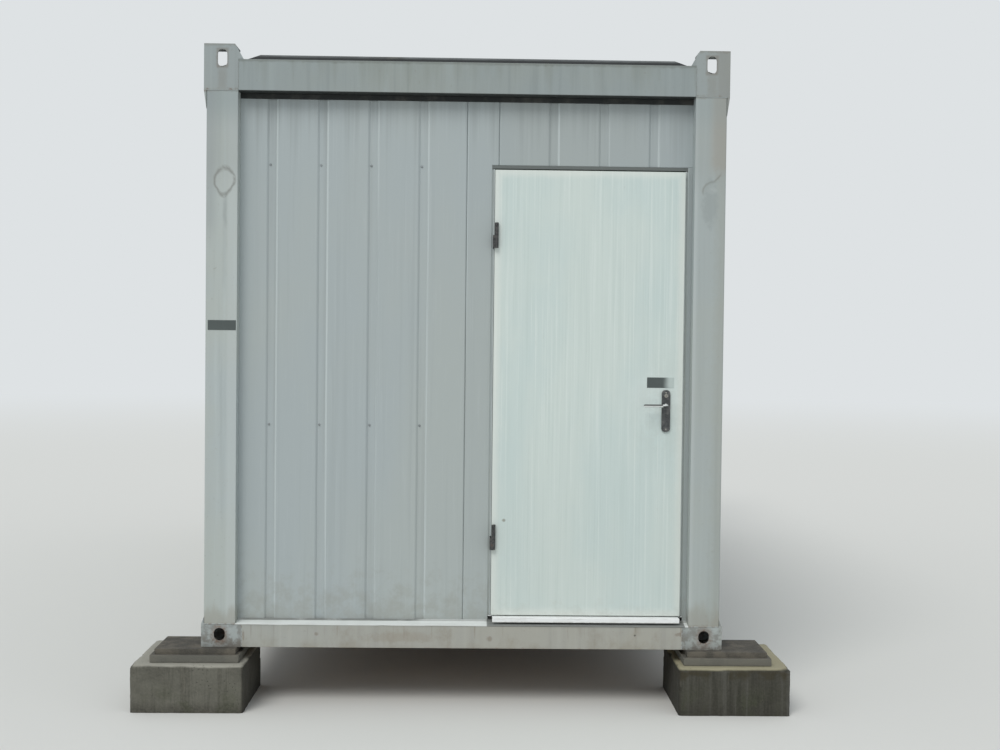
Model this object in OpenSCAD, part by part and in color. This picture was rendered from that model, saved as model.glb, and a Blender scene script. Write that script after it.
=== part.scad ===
// Portable site cabin: a steel frame of posts and rails closed by ribbed sandwich panels,
// with one outward opening door in its short end, set on four concrete blocks.
// The origin is on the ground under the middle of the cabin. The door looks along -Y.

/* [Cabin] */
// Width over the corner castings
cabin_w = 2438; // [2300:1:3000]
// Length over the corner castings
cabin_l = 6058; // [2990:1:9120]
// Height of the cabin, from the underside of its floor frame to the top of its corner heads
cabin_h = 2800; // [2700:5:3100]

/* [Concrete blocks] */
// Width of a block, across the cabin
block_w = 520; // [400:10:700]
// Depth of a block, along the cabin
block_d = 520; // [400:10:700]
// Height of a block above the ground
block_h = 220; // [120:10:400]
// Bevel round the top of a block
block_bevel = 8; // [5:1:30]
// How far a block reaches out past the cabin's side
block_side = 315; // [0:5:330]
// How far a block reaches out past the cabin's end
block_end = 115; // [60:5:160]

/* [Packing plates] */
// Width of the lower packing plate, across the cabin
packing_w = 410; // [300:10:500]
// Depth of the lower packing plate, along the cabin
packing_d = 300; // [220:10:400]
// Thickness of the lower packing plate
packing_low_t = 35; // [10:1:60]
// Thickness of the upper packing plate
packing_top_t = 25; // [10:1:60]
// How far the upper plate stays back from each edge of the lower one
packing_step = 18; // [5:1:40]
// How far the packing plates lie inwards from the middle of their block
packing_in = 25; // [0:1:30]

/* [Corner posts] */
// Face width of a post on the cabin's end
post_w = 146; // [140:1:170]
// Face width of a post on the cabin's long side
post_d = 160; // [140:1:180]
// How deep the walls lie behind the faces of the frame
recess = 70; // [40:1:80]
// Sheet thickness of a post
post_t = 4; // [3:0.5:6]
// Radius of the post's outer bend
post_bend = 8; // [4:1:12]

/* [Corner castings] */
// How far castings and heads stand out past the posts on the long sides
corner_proud = 12; // [4:1:16]
// Width of a bottom casting on the cabin's end
casting_w = 188; // [185:1:210]
// Depth of a bottom casting on the cabin's long side
casting_d = 172; // [165:1:200]
// Wall thickness of a bottom casting
casting_t = 10; // [6:1:14]
// Width of the lifting holes in a casting's outer faces
casting_hole_w = 51; // [40:1:54]
// Height of the lifting holes in a casting's outer faces
casting_hole_h = 60; // [56:1:62]
// Distance from the top of a bottom casting down to the middle of its lifting holes
casting_hole_drop = 49; // [41:1:50]
// Width of the locking slot under a bottom casting
lock_slot_w = 56; // [40:1:60]
// Length of the locking slot under a bottom casting
lock_slot_l = 100; // [80:1:110]
// Height of the weld wedge that runs up from a casting's proud side to the post
shoulder_h = 30; // [10:1:60]

/* [Top corner heads] */
// How far a head stands above the roof rails
head_rise = 70; // [60:1:90]
// Plate thickness of a head
head_t = 8; // [5:1:12]
// Height of the cheek that tapers from a head's proud side down to the post
cheek_h = 85; // [30:1:140]
// How far a head's gusset runs out over the roof rail
head_gusset = 24; // [10:1:40]
// How far the top of a head is cut back on its inner sides
head_cut = 16; // [5:1:30]
// Width of the lifting slots in the upright plates of a head
head_slot_w = 44; // [30:1:50]
// Height of the lifting slots in the upright plates of a head
head_slot_h = 80; // [60:1:90]
// Distance from the top of a head down to the middle of its lifting slot
head_slot_drop = 66; // [60:1:80]
// Width of the stacking slot in the top plate of a head
stacking_slot_w = 42; // [30:1:50]
// Length of the stacking slot in the top plate of a head
stacking_slot_l = 72; // [60:1:80]

/* [Rails] */
// Height of the floor rails
floor_rail_h = 108; // [90:1:140]
// Height of the roof rails
roof_rail_h = 145; // [120:1:160]
// Sheet thickness of the rails
rail_t = 4; // [3:0.5:6]
// Width of the seat that the rails give the floor and the ceiling inside the walls
rail_seat = 20; // [12:1:22]
// Width of the free flange of a rail
rail_flange = 60; // [40:1:80]

/* [Floor and ceiling] */
// Thickness of the floor deck
deck_t = 25; // [15:1:30]
// Thickness of the ceiling board
ceiling_t = 12; // [9:1:18]
// Play between a floor or ceiling board and the walls
board_play = 1; // [0.5:0.5:3]
// Width of a floor joist
joist_w = 50; // [40:1:80]
// Sheet thickness of a floor joist
joist_t = 3; // [2:0.5:5]
// Largest distance between two floor joists
joist_pitch = 600; // [400:10:800]

/* [Walls] */
// Thickness of the sandwich panels
wall_t = 60; // [40:1:80]
// Distance from one groove of the outer sheet to the next
groove_pitch = 236; // [180:1:300]
// Distance from a post's inner edge to the first groove
groove_first = 124; // [80:1:160]
// Width of a groove
groove_w = 52; // [30:1:70]
// Depth of a groove
groove_depth = 8; // [3:0.5:12]
// Width of each sloping side of a groove
groove_slope = 9; // [4:1:14]
// Number of groove places from one panel joint to the next
grooves_per_panel = 5; // [3:1:8]
// Width of the open joint between two panels
joint_w = 10; // [4:1:16]
// Width of the narrow panel between the first panel joint and the door opening
infill_w = 118; // [40:1:160]
// How far the joint beside the panel over the door lies inside the leaf's left edge
lintel_joint = 18; // [5:1:60]
// Distance from the right post's inner edge to the last groove over the door
lintel_groove_last = 208; // [180:1:240]

/* [Drip flashing] */
// Sheet thickness of the flashing on the floor rails
flashing_t = 2; // [1:0.5:3]
// Height of the flashing's upstand against the wall
flashing_up = 15; // [12:1:17]
// How far the flashing's ledge rises from the face of the rail to the wall
flashing_rise = 8; // [2:1:10]
// Height of the lip that the flashing turns down over the face of the rail
flashing_lip = 3; // [3:1:12]

/* [Door] */
// Width of the door leaf
leaf_w = 895; // [700:5:930]
// Height of the door leaf
leaf_h = 2095; // [1900:5:2150]
// Thickness of the door leaf
leaf_t = 40; // [35:1:50]
// How far the leaf's outer face stands proud of the wall
leaf_proud = 20; // [10:1:30]
// Distance from the right post's inner edge to the leaf
leaf_to_post = 34; // [28:1:120]
// Play between the leaf's edges and the frame
leaf_gap = 8; // [7:1:12]
// Play between the leaf and the stop behind it
leaf_stop_gap = 6; // [6:1:9]
// Play between the leaf and the sill under it
leaf_sill_gap = 5; // [5:1:10]
// Bevel on the upright edges of the leaf
leaf_bevel = 2; // [1:0.5:3]

/* [Door frame] */
// Sheet thickness of the folded door frame
frame_t = 2; // [1.5:0.5:3]
// Width of the stop that the frame shows behind the leaf's edge
frame_stop = 28; // [15:1:30]
// Face width of the frame's jambs
jamb_face = 6; // [4:1:12]
// Face width of the frame's head
head_face = 15; // [10:1:40]
// How far the frame's face lies behind the wall's outer face
frame_back = 2; // [0:1:6]
// Height of the sill's top above the floor rail
sill_h = 35; // [30:1:50]
// Sheet thickness of the sill
sill_t = 3; // [2:0.5:4]
// Height of the sill's front lip
sill_lip = 21; // [10:1:24]
// How far the sill's nose stays behind the face of the frame
sill_back = 10; // [5:1:25]
// How far the ends of the sill's nose stay inside the leaf's edges
sill_short = 7; // [0:1:20]

/* [Hinges] */
// Radius of the hinge knuckles
knuckle_r = 9; // [8:0.5:11]
// Height of a whole hinge
hinge_h = 118; // [100:1:140]
// Height of the lower hinge's foot above the leaf's bottom edge
hinge_low = 311; // [150:1:400]
// Height of the upper hinge's foot above the leaf's bottom edge
hinge_high = 1729; // [1500:1:1780]
// Radius of the hinge pin
pin_r = 5; // [4:0.5:6]
// Radial play of the pin in the leaf's knuckle
pin_play = 0.05; // [0.02:0.01:0.09]
// Gap between the two knuckles of a hinge
knuckle_gap = 0.3; // [0.1:0.1:0.5]
// Play between the knuckles and the leaf's face
knuckle_play = 5; // [5:0.5:8]
// Thickness of the strap that holds a knuckle to the frame
strap_t = 3; // [2:0.5:3]

/* [Handle] */
// Height of the lever's spindle above the leaf's bottom edge
spindle_z = 998; // [900:1:1100]
// Distance from the leaf's free edge to the spindle
backset = 80; // [60:1:90]
// Width of a handle plate
plate_w = 40; // [36:1:46]
// Height of a handle plate
plate_h = 197; // [180:1:240]
// Thickness of a handle plate
plate_t = 9; // [5:1:12]
// Radius of a handle plate's nearly round ends
plate_corner = 17; // [4:1:17]
// Height of the spindle above the foot of the plate
plate_foot = 124; // [110:1:140]
// Height of the lock cylinder above the spindle
lock_up = 46; // [40:1:56]
// Radius of the lock cylinder's round head
lock_r = 8.5; // [7:0.5:10]
// How far the lock cylinder stands out of the plate
lock_proud = 3; // [2:1:6]
// Radius of the lever's round bar
lever_r = 7; // [5:0.5:9]
// Length of the lever from the spindle to its tip
lever_l = 110; // [90:1:130]
// Distance from the plate to the middle of the lever's bar
lever_out = 40; // [35:1:50]
// Radius of the bend in the middle of the lever's bar
lever_bend = 16; // [12:1:20]
// Radius of the lever's neck where it turns in the plate
neck_r = 8.5; // [7:0.5:10]
// How far the lever's neck stands out of a handle plate
neck_proud = 2; // [1:0.5:5]
// Radial play of the neck in the plate
neck_play = 0.4; // [0.3:0.1:1]
// Radial play of the neck in the leaf
spindle_play = 4; // [2:0.5:6]

/* [Roof] */
// How far the foot of the roof sheet lies inside the faces of the roof rails
roof_back = 22; // [15:1:60]
// Height of the roof sheet above the roof rails
roof_rise = 37; // [25:1:50]
// Width of the sloping border of the roof sheet
roof_slope = 60; // [30:1:90]
// Thickness of the roof sheet
roof_t = 2; // [1:0.5:3]
// Play between the roof sheet and the gussets of the heads
roof_corner_play = 5; // [5:1:20]
// Height of the standing seams on the roof sheet
seam_h = 22; // [15:1:30]
// Width of a standing seam
seam_w = 8; // [4:1:12]
// Largest distance between two standing seams
seam_pitch = 620; // [400:10:800]

/* [Hidden] */
// Number of facets that stand for a full circle
$fn = 48;
// Small overlap that makes a cut run clear through a face
cut = 1;

// Heights above the ground
base_z = block_h + packing_low_t + packing_top_t;
wall_z = base_z + floor_rail_h;
top_z = base_z + cabin_h;
roof_rail_top_z = top_z - head_rise;
roof_rail_z = roof_rail_top_z - roof_rail_h;
wall_h = roof_rail_z - wall_z;
sill_z = wall_z + sill_h;
leaf_z = sill_z + leaf_sill_gap;
leaf_top_z = leaf_z + leaf_h;
lintel_z = leaf_top_z + leaf_gap + head_face;
head_h = head_rise + roof_rail_h;

// Outer faces of the posts and rails, and how far a casting reaches in from them
side_x = cabin_w / 2 - corner_proud;
end_y = cabin_l / 2;
frame_w = 2 * side_x;
casting_in = casting_w - corner_proud;

// Places across the cabin's front, from left to right
inner_x = side_x - recess - wall_t;
inner_y = end_y - recess - wall_t;
post_inner_x = side_x - post_w;
leaf_right_x = post_inner_x - leaf_to_post;
leaf_left_x = leaf_right_x - leaf_w;
frame_left_x = leaf_left_x - leaf_gap;
frame_right_x = leaf_right_x + leaf_gap;
opening_left_x = frame_left_x - jamb_face;
opening_right_x = frame_right_x + jamb_face;
panel_joint_x = opening_left_x - infill_w;
lintel_joint_x = leaf_left_x + lintel_joint;

// Depths into the cabin, from the front face of the frame
wall_y = -end_y + recess;
wall_back_y = wall_y + wall_t;
leaf_y = wall_y - leaf_proud;
leaf_back_y = leaf_y + leaf_t;
stop_y = leaf_back_y + leaf_stop_gap;
rail_deep = recess + wall_t + rail_seat;

// Hinge and handle places
hinge_x = leaf_left_x + knuckle_r;
hinge_y = leaf_y - knuckle_play - knuckle_r;
knuckle_h = (hinge_h - knuckle_gap) / 2;
spindle_x = leaf_right_x - backset;
lever_z = leaf_z + spindle_z;

// Foot of the roof sheet at the notches round the heads. The sheet's middle part ends a little
// past the notches' inner edge, so that each end part has one plain sloping outline.
notch_x = post_w + head_gusset + roof_corner_play;
notch_y = post_d + head_gusset + roof_corner_play;
roof_split = 5;
roof_mid_y = end_y - notch_y + roof_split;

// Unit vector, and the unit vector a quarter turn to its left
function unit(v) = v / norm(v);
function leftward(v) = [-v[1], v[0]];

// Shift of a path's corner that gives both of its legs the same thickness t on their left side
function mitre(a, b, t) = let (n = unit(leftward(a) + leftward(b))) n * t / (n * leftward(a));

// Direction of the leg that ends, and of the leg that starts, at point i of an open path
function leg_in(path, i) = let (k = max(i, 1)) unit(path[k] - path[k - 1]);
function leg_out(path, i) = let (k = min(i, len(path) - 2)) unit(path[k + 1] - path[k]);

// Closed outline of a sheet of thickness t that is folded along an open path
function folded(path, t) = concat(
    path,
    [for (i = [len(path) - 1 : -1 : 0]) path[i] + mitre(leg_in(path, i), leg_out(path, i), t)]
);

// Outline of one leg-shaped post, shrunk by inset all round, with its outer bend rounded
function post_outline(inset) = let (r = post_bend - inset, n = 4) concat(
    [for (i = [0 : n]) let (a = 180 + 90 * i / n) [inset + r + r * cos(a), inset + r + r * sin(a)]],
    [
        [post_w - inset, inset],
        [post_w - inset, recess - inset],
        [recess - inset, recess - inset],
        [recess - inset, post_d - inset],
        [inset, post_d - inset]
    ]
);

// Points of one groove, or of one narrow panel joint, that starts at s on a wall's outer face
function groove(s) = [
    [s, 0],
    [s + groove_slope, groove_depth],
    [s + groove_w - groove_slope, groove_depth],
    [s + groove_w, 0]
];
function joint(s) = [[s - joint_w / 2, 0], [s, joint_w / 2], [s + joint_w / 2, 0]];

// Plan outline of a wall of length l: its outer face has a groove at each pitch from first on,
// and a panel joint in place of each last one of a panel
function wall_outline(l, first) = concat(
    [[0, 0]],
    [
        for (i = [0 : floor((l - first - groove_w) / groove_pitch)])
            let (s = first + i * groove_pitch)
                each (i % grooves_per_panel == grooves_per_panel - 1 ? joint(s) : groove(s))
    ],
    [[l, 0], [l, wall_t], [0, wall_t]]
);

// Plan outline of a single panel of length l with grooves at the listed places and
// half a panel joint on the edges where one is asked for
function panel_outline(l, places, joint_start, joint_end) = let (c = joint_w / 2) concat(
    joint_start ? [[0, c], [c, 0]] : [[0, 0]],
    [for (s = places) each groove(s)],
    joint_end ? [[l - c, 0], [l, c]] : [[l, 0]],
    [[l, wall_t], [0, wall_t]]
);

// Number of equal bays, no longer than pitch, that fill a length
function bays(length, pitch) = ceil(length / pitch);

// Places children at one corner of the cabin: x and y then run inwards from the outer faces of
// the post, and z up from the underside of the floor frame
module at_corner(sx, sy) {
    translate([sx * side_x, sy * end_y, base_z])
        mirror([sx > 0 ? 1 : 0, 0, 0])
            mirror([0, sy > 0 ? 1 : 0, 0])
                children();
}

// Turns an outline that is drawn as depth and height into a bar of length l along X
module bar_x(l) {
    rotate([90, 0, 90])
        linear_extrude(l)
            children();
}

// Turns an outline that is drawn as width and height into a bar of length l along Y
module bar_y(l) {
    translate([0, l, 0])
        rotate([90, 0, 0])
            linear_extrude(l)
                children();
}

// Flat slot with round ends, upright or lying
module slot(width, length) {
    square([width, length - width], center = true);
    for (s = [-1, 1])
        translate([0, s * (length - width) / 2])
            circle(d = width);
}

// Flat plate outline with round corners
module rounded_plate(w, h, r) {
    square([w - 2 * r, h], center = true);
    square([w, h - 2 * r], center = true);
    for (x = [-1, 1], y = [-1, 1])
        translate([x * (w / 2 - r), y * (h / 2 - r)])
            circle(r);
}

// Four cast concrete blocks with a bevel round their tops
module concrete_blocks() {
    module bevelled(w) {
        b = block_bevel;
        polygon([[0, 0], [w, 0], [w, block_h - b], [w - b, block_h], [b, block_h], [0, block_h - b]]);
    }
    color([0.40, 0.39, 0.35])
        for (sx = [-1, 1], sy = [-1, 1])
            at_corner(sx, sy)
                translate([-block_side, -block_end, -base_z])
                    intersection() {
                        bar_x(block_w)
                            bevelled(block_d);
                        bar_y(block_d)
                            bevelled(block_w);
                    }
}

// Two dark packing plates between each block and its casting
module packing_plates() {
    lower_x = block_w / 2 - block_side - packing_w / 2 + packing_in;
    lower_y = (casting_d - packing_d) / 2;
    color([0.19, 0.19, 0.18])
        for (sx = [-1, 1], sy = [-1, 1])
            at_corner(sx, sy) {
                translate([lower_x, lower_y, -packing_low_t - packing_top_t])
                    cube([packing_w, packing_d, packing_low_t]);
                translate([lower_x + packing_step, lower_y + packing_step, -packing_top_t])
                    cube([packing_w - 2 * packing_step, packing_d - 2 * packing_step, packing_top_t]);
            }
}

// Hollow bottom casting with a lifting hole in each outer face and a locking slot below. A weld
// wedge runs from its proud side up to the post.
module bottom_casting(sx, sy) {
    h = floor_rail_h;
    t = casting_t;
    color([0.60, 0.61, 0.59])
        at_corner(sx, sy) {
            difference() {
                translate([-corner_proud, 0, 0])
                    cube([casting_w, casting_d, h]);
                translate([t - corner_proud, t, t])
                    cube([casting_w - 2 * t, casting_d - 2 * t, h - 2 * t]);
                translate([post_w / 2, -cut, h - casting_hole_drop])
                    bar_y(t + 2 * cut)
                        slot(casting_hole_w, casting_hole_h);
                translate([-corner_proud - cut, post_d / 2, h - casting_hole_drop])
                    bar_x(t + 2 * cut)
                        slot(casting_hole_w, casting_hole_h);
                translate([post_w / 2, post_d / 2, -cut])
                    linear_extrude(t + 2 * cut)
                        slot(lock_slot_w, lock_slot_l);
            }
            bar_y(post_d)
                polygon([[-corner_proud, h], [0, h], [0, h + shoulder_h]]);
        }
}

// Folded hollow corner post that stands on its casting and clasps two walls
module post(sx, sy) {
    color([0.66, 0.68, 0.67])
        at_corner(sx, sy)
            translate([0, 0, floor_rail_h])
                linear_extrude(wall_h)
                    difference() {
                        polygon(post_outline(0));
                        polygon(post_outline(post_t));
                    }
}

// Welded head on a post: foot plate, slotted end plate with a gusset over the roof rail, slotted
// top plate, and a proud side plate that laps over the long roof rail and tapers down to the
// post in a cheek. It is open towards the roof.
module top_head(sx, sy) {
    slot_z = head_h - head_slot_drop;
    color([0.62, 0.64, 0.62])
        at_corner(sx, sy)
            translate([0, 0, floor_rail_h + wall_h]) {
                cube([post_w, post_d, rail_t]);
                bar_y(post_d)
                    polygon([[-corner_proud, 0], [0, -cheek_h], [0, 0]]);
                bar_y(head_t)
                    difference() {
                        polygon([
                            [-corner_proud, 0],
                            [post_w, 0],
                            [post_w, roof_rail_h],
                            [post_w + head_gusset, roof_rail_h],
                            [post_w - head_cut, head_h],
                            [-corner_proud, head_h]
                        ]);
                        translate([post_w / 2, slot_z])
                            slot(head_slot_w, head_slot_h);
                    }
                translate([-corner_proud, 0, 0])
                    bar_x(corner_proud)
                        difference() {
                            polygon([
                                [0, 0],
                                [post_d + head_gusset, 0],
                                [post_d + head_gusset, roof_rail_h],
                                [post_d - head_cut, head_h],
                                [0, head_h]
                            ]);
                            translate([post_d / 2, slot_z])
                                slot(head_slot_w, head_slot_h);
                        }
                difference() {
                    translate([-corner_proud, 0, head_h - head_t])
                        cube([post_w + corner_proud - head_cut, post_d - head_cut, head_t]);
                    translate([post_w / 2, post_d / 2, head_h - head_t - cut])
                        linear_extrude(head_t + 2 * cut)
                            rotate(90)
                                slot(stacking_slot_w, stacking_slot_l);
                }
            }
}

// Section of a floor rail, as depth and height: face, foot flange, and a wide top flange
// that carries the wall and the edge of the deck
module floor_rail_section() {
    polygon(folded([[rail_flange, 0], [0, 0], [0, floor_rail_h], [rail_deep, floor_rail_h]], -rail_t));
}

// Section of a roof rail: a wide foot flange that holds the ceiling, face, and top flange
module roof_rail_section() {
    polygon(folded([[rail_deep, 0], [0, 0], [0, roof_rail_h], [rail_flange, roof_rail_h]], -rail_t));
}

// Rail between two corners, on the end (s = -1 front, 1 rear)
module end_rail(s, z, from_x) {
    translate([0, s * end_y, z])
        mirror([0, s > 0 ? 1 : 0, 0])
            translate([-side_x + from_x, 0, 0])
                bar_x(frame_w - 2 * from_x)
                    children();
}

// Rail between two corners, on the long side (s = -1 left, 1 right)
module side_rail(s, z, from_y) {
    translate([s * side_x, -end_y + from_y, z])
        mirror([s > 0 ? 1 : 0, 0, 0])
            bar_y(cabin_l - 2 * from_y)
                children();
}

module floor_rail_end(s) {
    color([0.63, 0.63, 0.61])
        end_rail(s, base_z, casting_in)
            floor_rail_section();
}

module floor_rail_side(s) {
    color([0.63, 0.63, 0.61])
        side_rail(s, base_z, casting_d)
            floor_rail_section();
}

module roof_rail_end(s) {
    color([0.62, 0.64, 0.63])
        end_rail(s, roof_rail_z, post_w)
            roof_rail_section();
}

module roof_rail_side(s) {
    color([0.62, 0.64, 0.63])
        side_rail(s, roof_rail_z, post_d)
            roof_rail_section();
}

// Folded joists from side rail to side rail, coped round the rails' top flanges
module floor_joists() {
    span_x = 2 * (side_x - rail_t);
    span_y = cabin_l - 2 * casting_d;
    count = bays(span_y, joist_pitch);
    joist_h = floor_rail_h - rail_t;
    section = folded([[joist_w, 0], [0, 0], [0, joist_h], [joist_w, joist_h]], -joist_t);
    color([0.45, 0.47, 0.48])
        for (i = [1 : count - 1])
            translate([-span_x / 2, -span_y / 2 + i * span_y / count - joist_w / 2, base_z + rail_t])
                difference() {
                    bar_x(span_x)
                        polygon(section);
                    for (x = [-cut, span_x - (rail_deep - rail_t)])
                        translate([x, -cut, joist_h - rail_t])
                            cube([rail_deep - rail_t + cut, joist_w + 2 * cut, rail_t + cut]);
                }
}

module floor_deck() {
    w = 2 * (inner_x - board_play);
    l = 2 * (inner_y - board_play);
    color([0.36, 0.33, 0.30])
        translate([-w / 2, -l / 2, wall_z])
            cube([w, l, deck_t]);
}

module ceiling_board() {
    w = 2 * (inner_x - board_play);
    l = 2 * (inner_y - board_play);
    color([0.86, 0.86, 0.84])
        translate([-w / 2, -l / 2, roof_rail_z + rail_t])
            cube([w, l, ceiling_t]);
}

// Outline of a sloping cut of the roof sheet at a notch that starts at foot
function notch_outline(foot) = let (run = roof_slope / roof_rise) [
    [-cut, -cut],
    [foot - cut * run, -cut],
    [foot + (roof_rise + cut) * run, roof_rise + cut],
    [-cut, roof_rise + cut]
];

// Body under the roof sheet, shrunk by inset: a flat top with sloping borders, cut away at the
// four corners where the heads stand
module roof_form(inset) {
    module border(half) {
        a = half - roof_back - inset;
        polygon([[-a, 0], [a, 0], [a - roof_slope, roof_rise - inset], [roof_slope - a, roof_rise - inset]]);
    }
    difference() {
        intersection() {
            translate([0, -end_y, 0])
                bar_y(cabin_l)
                    border(side_x);
            translate([-side_x, 0, 0])
                bar_x(frame_w)
                    border(end_y);
        }
        for (sx = [-1, 1], sy = [-1, 1])
            scale([sx, sy, 1])
                intersection() {
                    translate([side_x, 0, 0])
                        mirror([1, 0, 0])
                            bar_y(end_y + cut)
                                polygon(notch_outline(notch_x + inset));
                    translate([0, end_y, 0])
                        mirror([0, 1, 0])
                            bar_x(side_x + cut)
                                polygon(notch_outline(notch_y + inset));
                }
    }
}

// Whole roof sheet, of which the children keep one part
module roof_shell() {
    translate([0, 0, roof_rail_top_z])
        intersection() {
            difference() {
                roof_form(0);
                translate([0, 0, -cut])
                    roof_form(roof_t);
                roof_form(roof_t);
            }
            children();
        }
}

// Middle of the roof between the heads, with standing seams across the cabin
module roof_sheet() {
    flat_x = side_x - roof_back - roof_slope;
    flat_y = end_y - notch_y - roof_slope;
    count = bays(2 * flat_y, seam_pitch);
    color([0.42, 0.44, 0.45]) {
        roof_shell()
            translate([-side_x, -roof_mid_y, -cut])
                cube([frame_w, 2 * roof_mid_y, roof_rise + 2 * cut]);
        for (i = [1 : count - 1])
            translate([
                -flat_x,
                -flat_y + i * 2 * flat_y / count - seam_w / 2,
                roof_rail_top_z + roof_rise - roof_t / 2
            ])
                cube([2 * flat_x, seam_w, seam_h + roof_t / 2]);
    }
}

// Roof between the two heads of one end (s = -1 front, 1 rear)
module roof_end(s) {
    color([0.42, 0.44, 0.45])
        roof_shell()
            translate([-side_x, s < 0 ? -end_y : roof_mid_y, -cut])
                cube([frame_w, end_y - roof_mid_y, roof_rise + 2 * cut]);
}

// Upright wall made of an outline that is drawn along the front of the cabin
module front_panel(x, z, h) {
    translate([x, wall_y, z])
        linear_extrude(h)
            children();
}

// Left panel of the front, from behind the post to the first panel joint
module front_wall_left() {
    hidden = inner_x - post_inner_x;
    l = panel_joint_x + inner_x;
    first = hidden + groove_first;
    count = floor((l - joint_w - groove_w - first) / groove_pitch);
    places = [for (i = [0 : count]) first + i * groove_pitch];
    color([0.64, 0.67, 0.68])
        front_panel(-inner_x, wall_z, wall_h)
            polygon(panel_outline(l, places, false, true));
}

// Narrow panel between the first joint and the door, cut out round the door frame
module front_wall_infill() {
    color([0.64, 0.67, 0.68])
        difference() {
            front_panel(panel_joint_x, wall_z, wall_h)
                polygon(panel_outline(lintel_joint_x - panel_joint_x, [], true, true));
            translate([opening_left_x, wall_y - cut, wall_z - cut])
                cube([leaf_w, wall_t + 2 * cut, lintel_z - wall_z + cut]);
        }
}

// Panel over the door
module front_wall_lintel() {
    l = inner_x - lintel_joint_x;
    last = post_inner_x - lintel_groove_last - lintel_joint_x;
    count = floor((last - joint_w) / groove_pitch);
    places = [for (i = [count : -1 : 0]) last - i * groove_pitch];
    color([0.64, 0.67, 0.68])
        front_panel(lintel_joint_x, lintel_z, roof_rail_z - lintel_z)
            polygon(panel_outline(l, places, true, false));
}

// Narrow strip of wall between the door frame and the right post
module front_wall_jamb() {
    color([0.58, 0.60, 0.60])
        front_panel(opening_right_x, wall_z, lintel_z - wall_z)
            square([inner_x - opening_right_x, wall_t]);
}

module rear_wall() {
    hidden = inner_x - post_inner_x;
    color([0.64, 0.67, 0.68])
        translate([inner_x, -wall_y, wall_z])
            rotate(180)
                linear_extrude(wall_h)
                    polygon(wall_outline(2 * inner_x, hidden + groove_first));
}

// Long wall (s = -1 left, 1 right) from behind one post to behind the other
module side_wall(s) {
    color([0.64, 0.67, 0.68])
        rotate(s < 0 ? -90 : 90)
            translate([wall_y, recess - side_x, wall_z])
                linear_extrude(wall_h)
                    polygon(wall_outline(-2 * wall_y, post_d - recess + groove_first));
}

// Thin sheet over the ledge of the floor rails: an upstand against the wall, a sloping ledge,
// and a lip over the face of the rail
module drip_flashing() {
    section = folded(
        [[recess, flashing_up], [recess, flashing_rise], [0, 0], [0, -flashing_lip]],
        -flashing_t
    );
    color([0.72, 0.74, 0.72]) {
        for (s = [-1, 1])
            end_rail(s, wall_z, post_w)
                polygon(section);
        for (s = [-1, 1])
            side_rail(s, wall_z, casting_d)
                polygon(section);
    }
}

// Folded frame round the door: two jambs on the sill and a head between them
module door_frame() {
    module section(face) {
        deep = wall_back_y - wall_y;
        stop = stop_y - wall_y;
        polygon(folded([
            [face, frame_back],
            [0, frame_back],
            [0, stop],
            [-leaf_gap - frame_stop, stop],
            [-leaf_gap - frame_stop, deep]
        ], -frame_t));
    }
    h = lintel_z - sill_z;
    color([0.50, 0.52, 0.52]) {
        translate([frame_right_x, wall_y, sill_z])
            linear_extrude(h)
                section(jamb_face);
        translate([frame_left_x, wall_y, sill_z])
            mirror([1, 0, 0])
                linear_extrude(h)
                    section(jamb_face);
        translate([frame_left_x, wall_y, leaf_top_z + leaf_gap])
            rotate([90, 0, 90])
                linear_extrude(frame_right_x - frame_left_x)
                    mirror([1, -1])
                        section(head_face);
    }
}

// Folded sill: front lip, tread, and a box foot that stands on the floor rail
module door_sill() {
    nose = sill_back - recess;
    color([0.90, 0.91, 0.90])
        difference() {
            translate([opening_left_x, wall_y, wall_z])
                bar_x(opening_right_x - opening_left_x)
                    polygon(folded([
                        [nose, sill_h - sill_lip],
                        [nose, sill_h],
                        [wall_t, sill_h],
                        [wall_t, 0],
                        [flashing_t, 0]
                    ], -sill_t));
            for (x = [opening_left_x - cut, leaf_right_x - sill_short])
                translate([x, wall_y + nose - cut, wall_z])
                    cube([leaf_left_x + sill_short - opening_left_x + cut, -nose + cut, sill_h + cut]);
        }
}

// Lower halves of the two hinges: knuckle, pin, and a strap into the frame
module hinge_pins() {
    color([0.25, 0.26, 0.27])
        for (z = [hinge_low, hinge_high])
            translate([hinge_x, hinge_y, leaf_z + z]) {
                cylinder(r = knuckle_r, h = knuckle_h);
                cylinder(r = pin_r, h = hinge_h - knuckle_r);
                linear_extrude(knuckle_h)
                    polygon(folded([
                        [0, -knuckle_r],
                        [frame_left_x - hinge_x, -knuckle_r],
                        [frame_left_x - hinge_x, stop_y - hinge_y]
                    ], -strap_t));
            }
}

// Upper halves of the two hinges: knuckle with a bore over the pin, and a lug to the leaf
module hinge_knuckles() {
    color([0.25, 0.26, 0.27])
        for (z = [hinge_low, hinge_high])
            translate([hinge_x, hinge_y, leaf_z + z + knuckle_h + knuckle_gap])
                difference() {
                    union() {
                        cylinder(r = knuckle_r, h = knuckle_h);
                        cube([knuckle_r, leaf_y - hinge_y, knuckle_h]);
                    }
                    translate([0, 0, -cut])
                        cylinder(r = pin_r + pin_play, h = hinge_h);
                }
}

// Flat door leaf with bevelled upright edges and a bore for the spindle
module door_leaf() {
    b = leaf_bevel;
    color([0.77, 0.82, 0.80])
        difference() {
            translate([leaf_left_x, leaf_y, leaf_z])
                linear_extrude(leaf_h)
                    polygon([
                        [b, 0],
                        [leaf_w - b, 0],
                        [leaf_w, b],
                        [leaf_w, leaf_t - b],
                        [leaf_w - b, leaf_t],
                        [b, leaf_t],
                        [0, leaf_t - b],
                        [0, b]
                    ]);
            translate([spindle_x, leaf_y - cut, lever_z])
                rotate([-90, 0, 0])
                    cylinder(r = neck_r + spindle_play, h = leaf_t + 2 * cut);
        }
}

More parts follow.
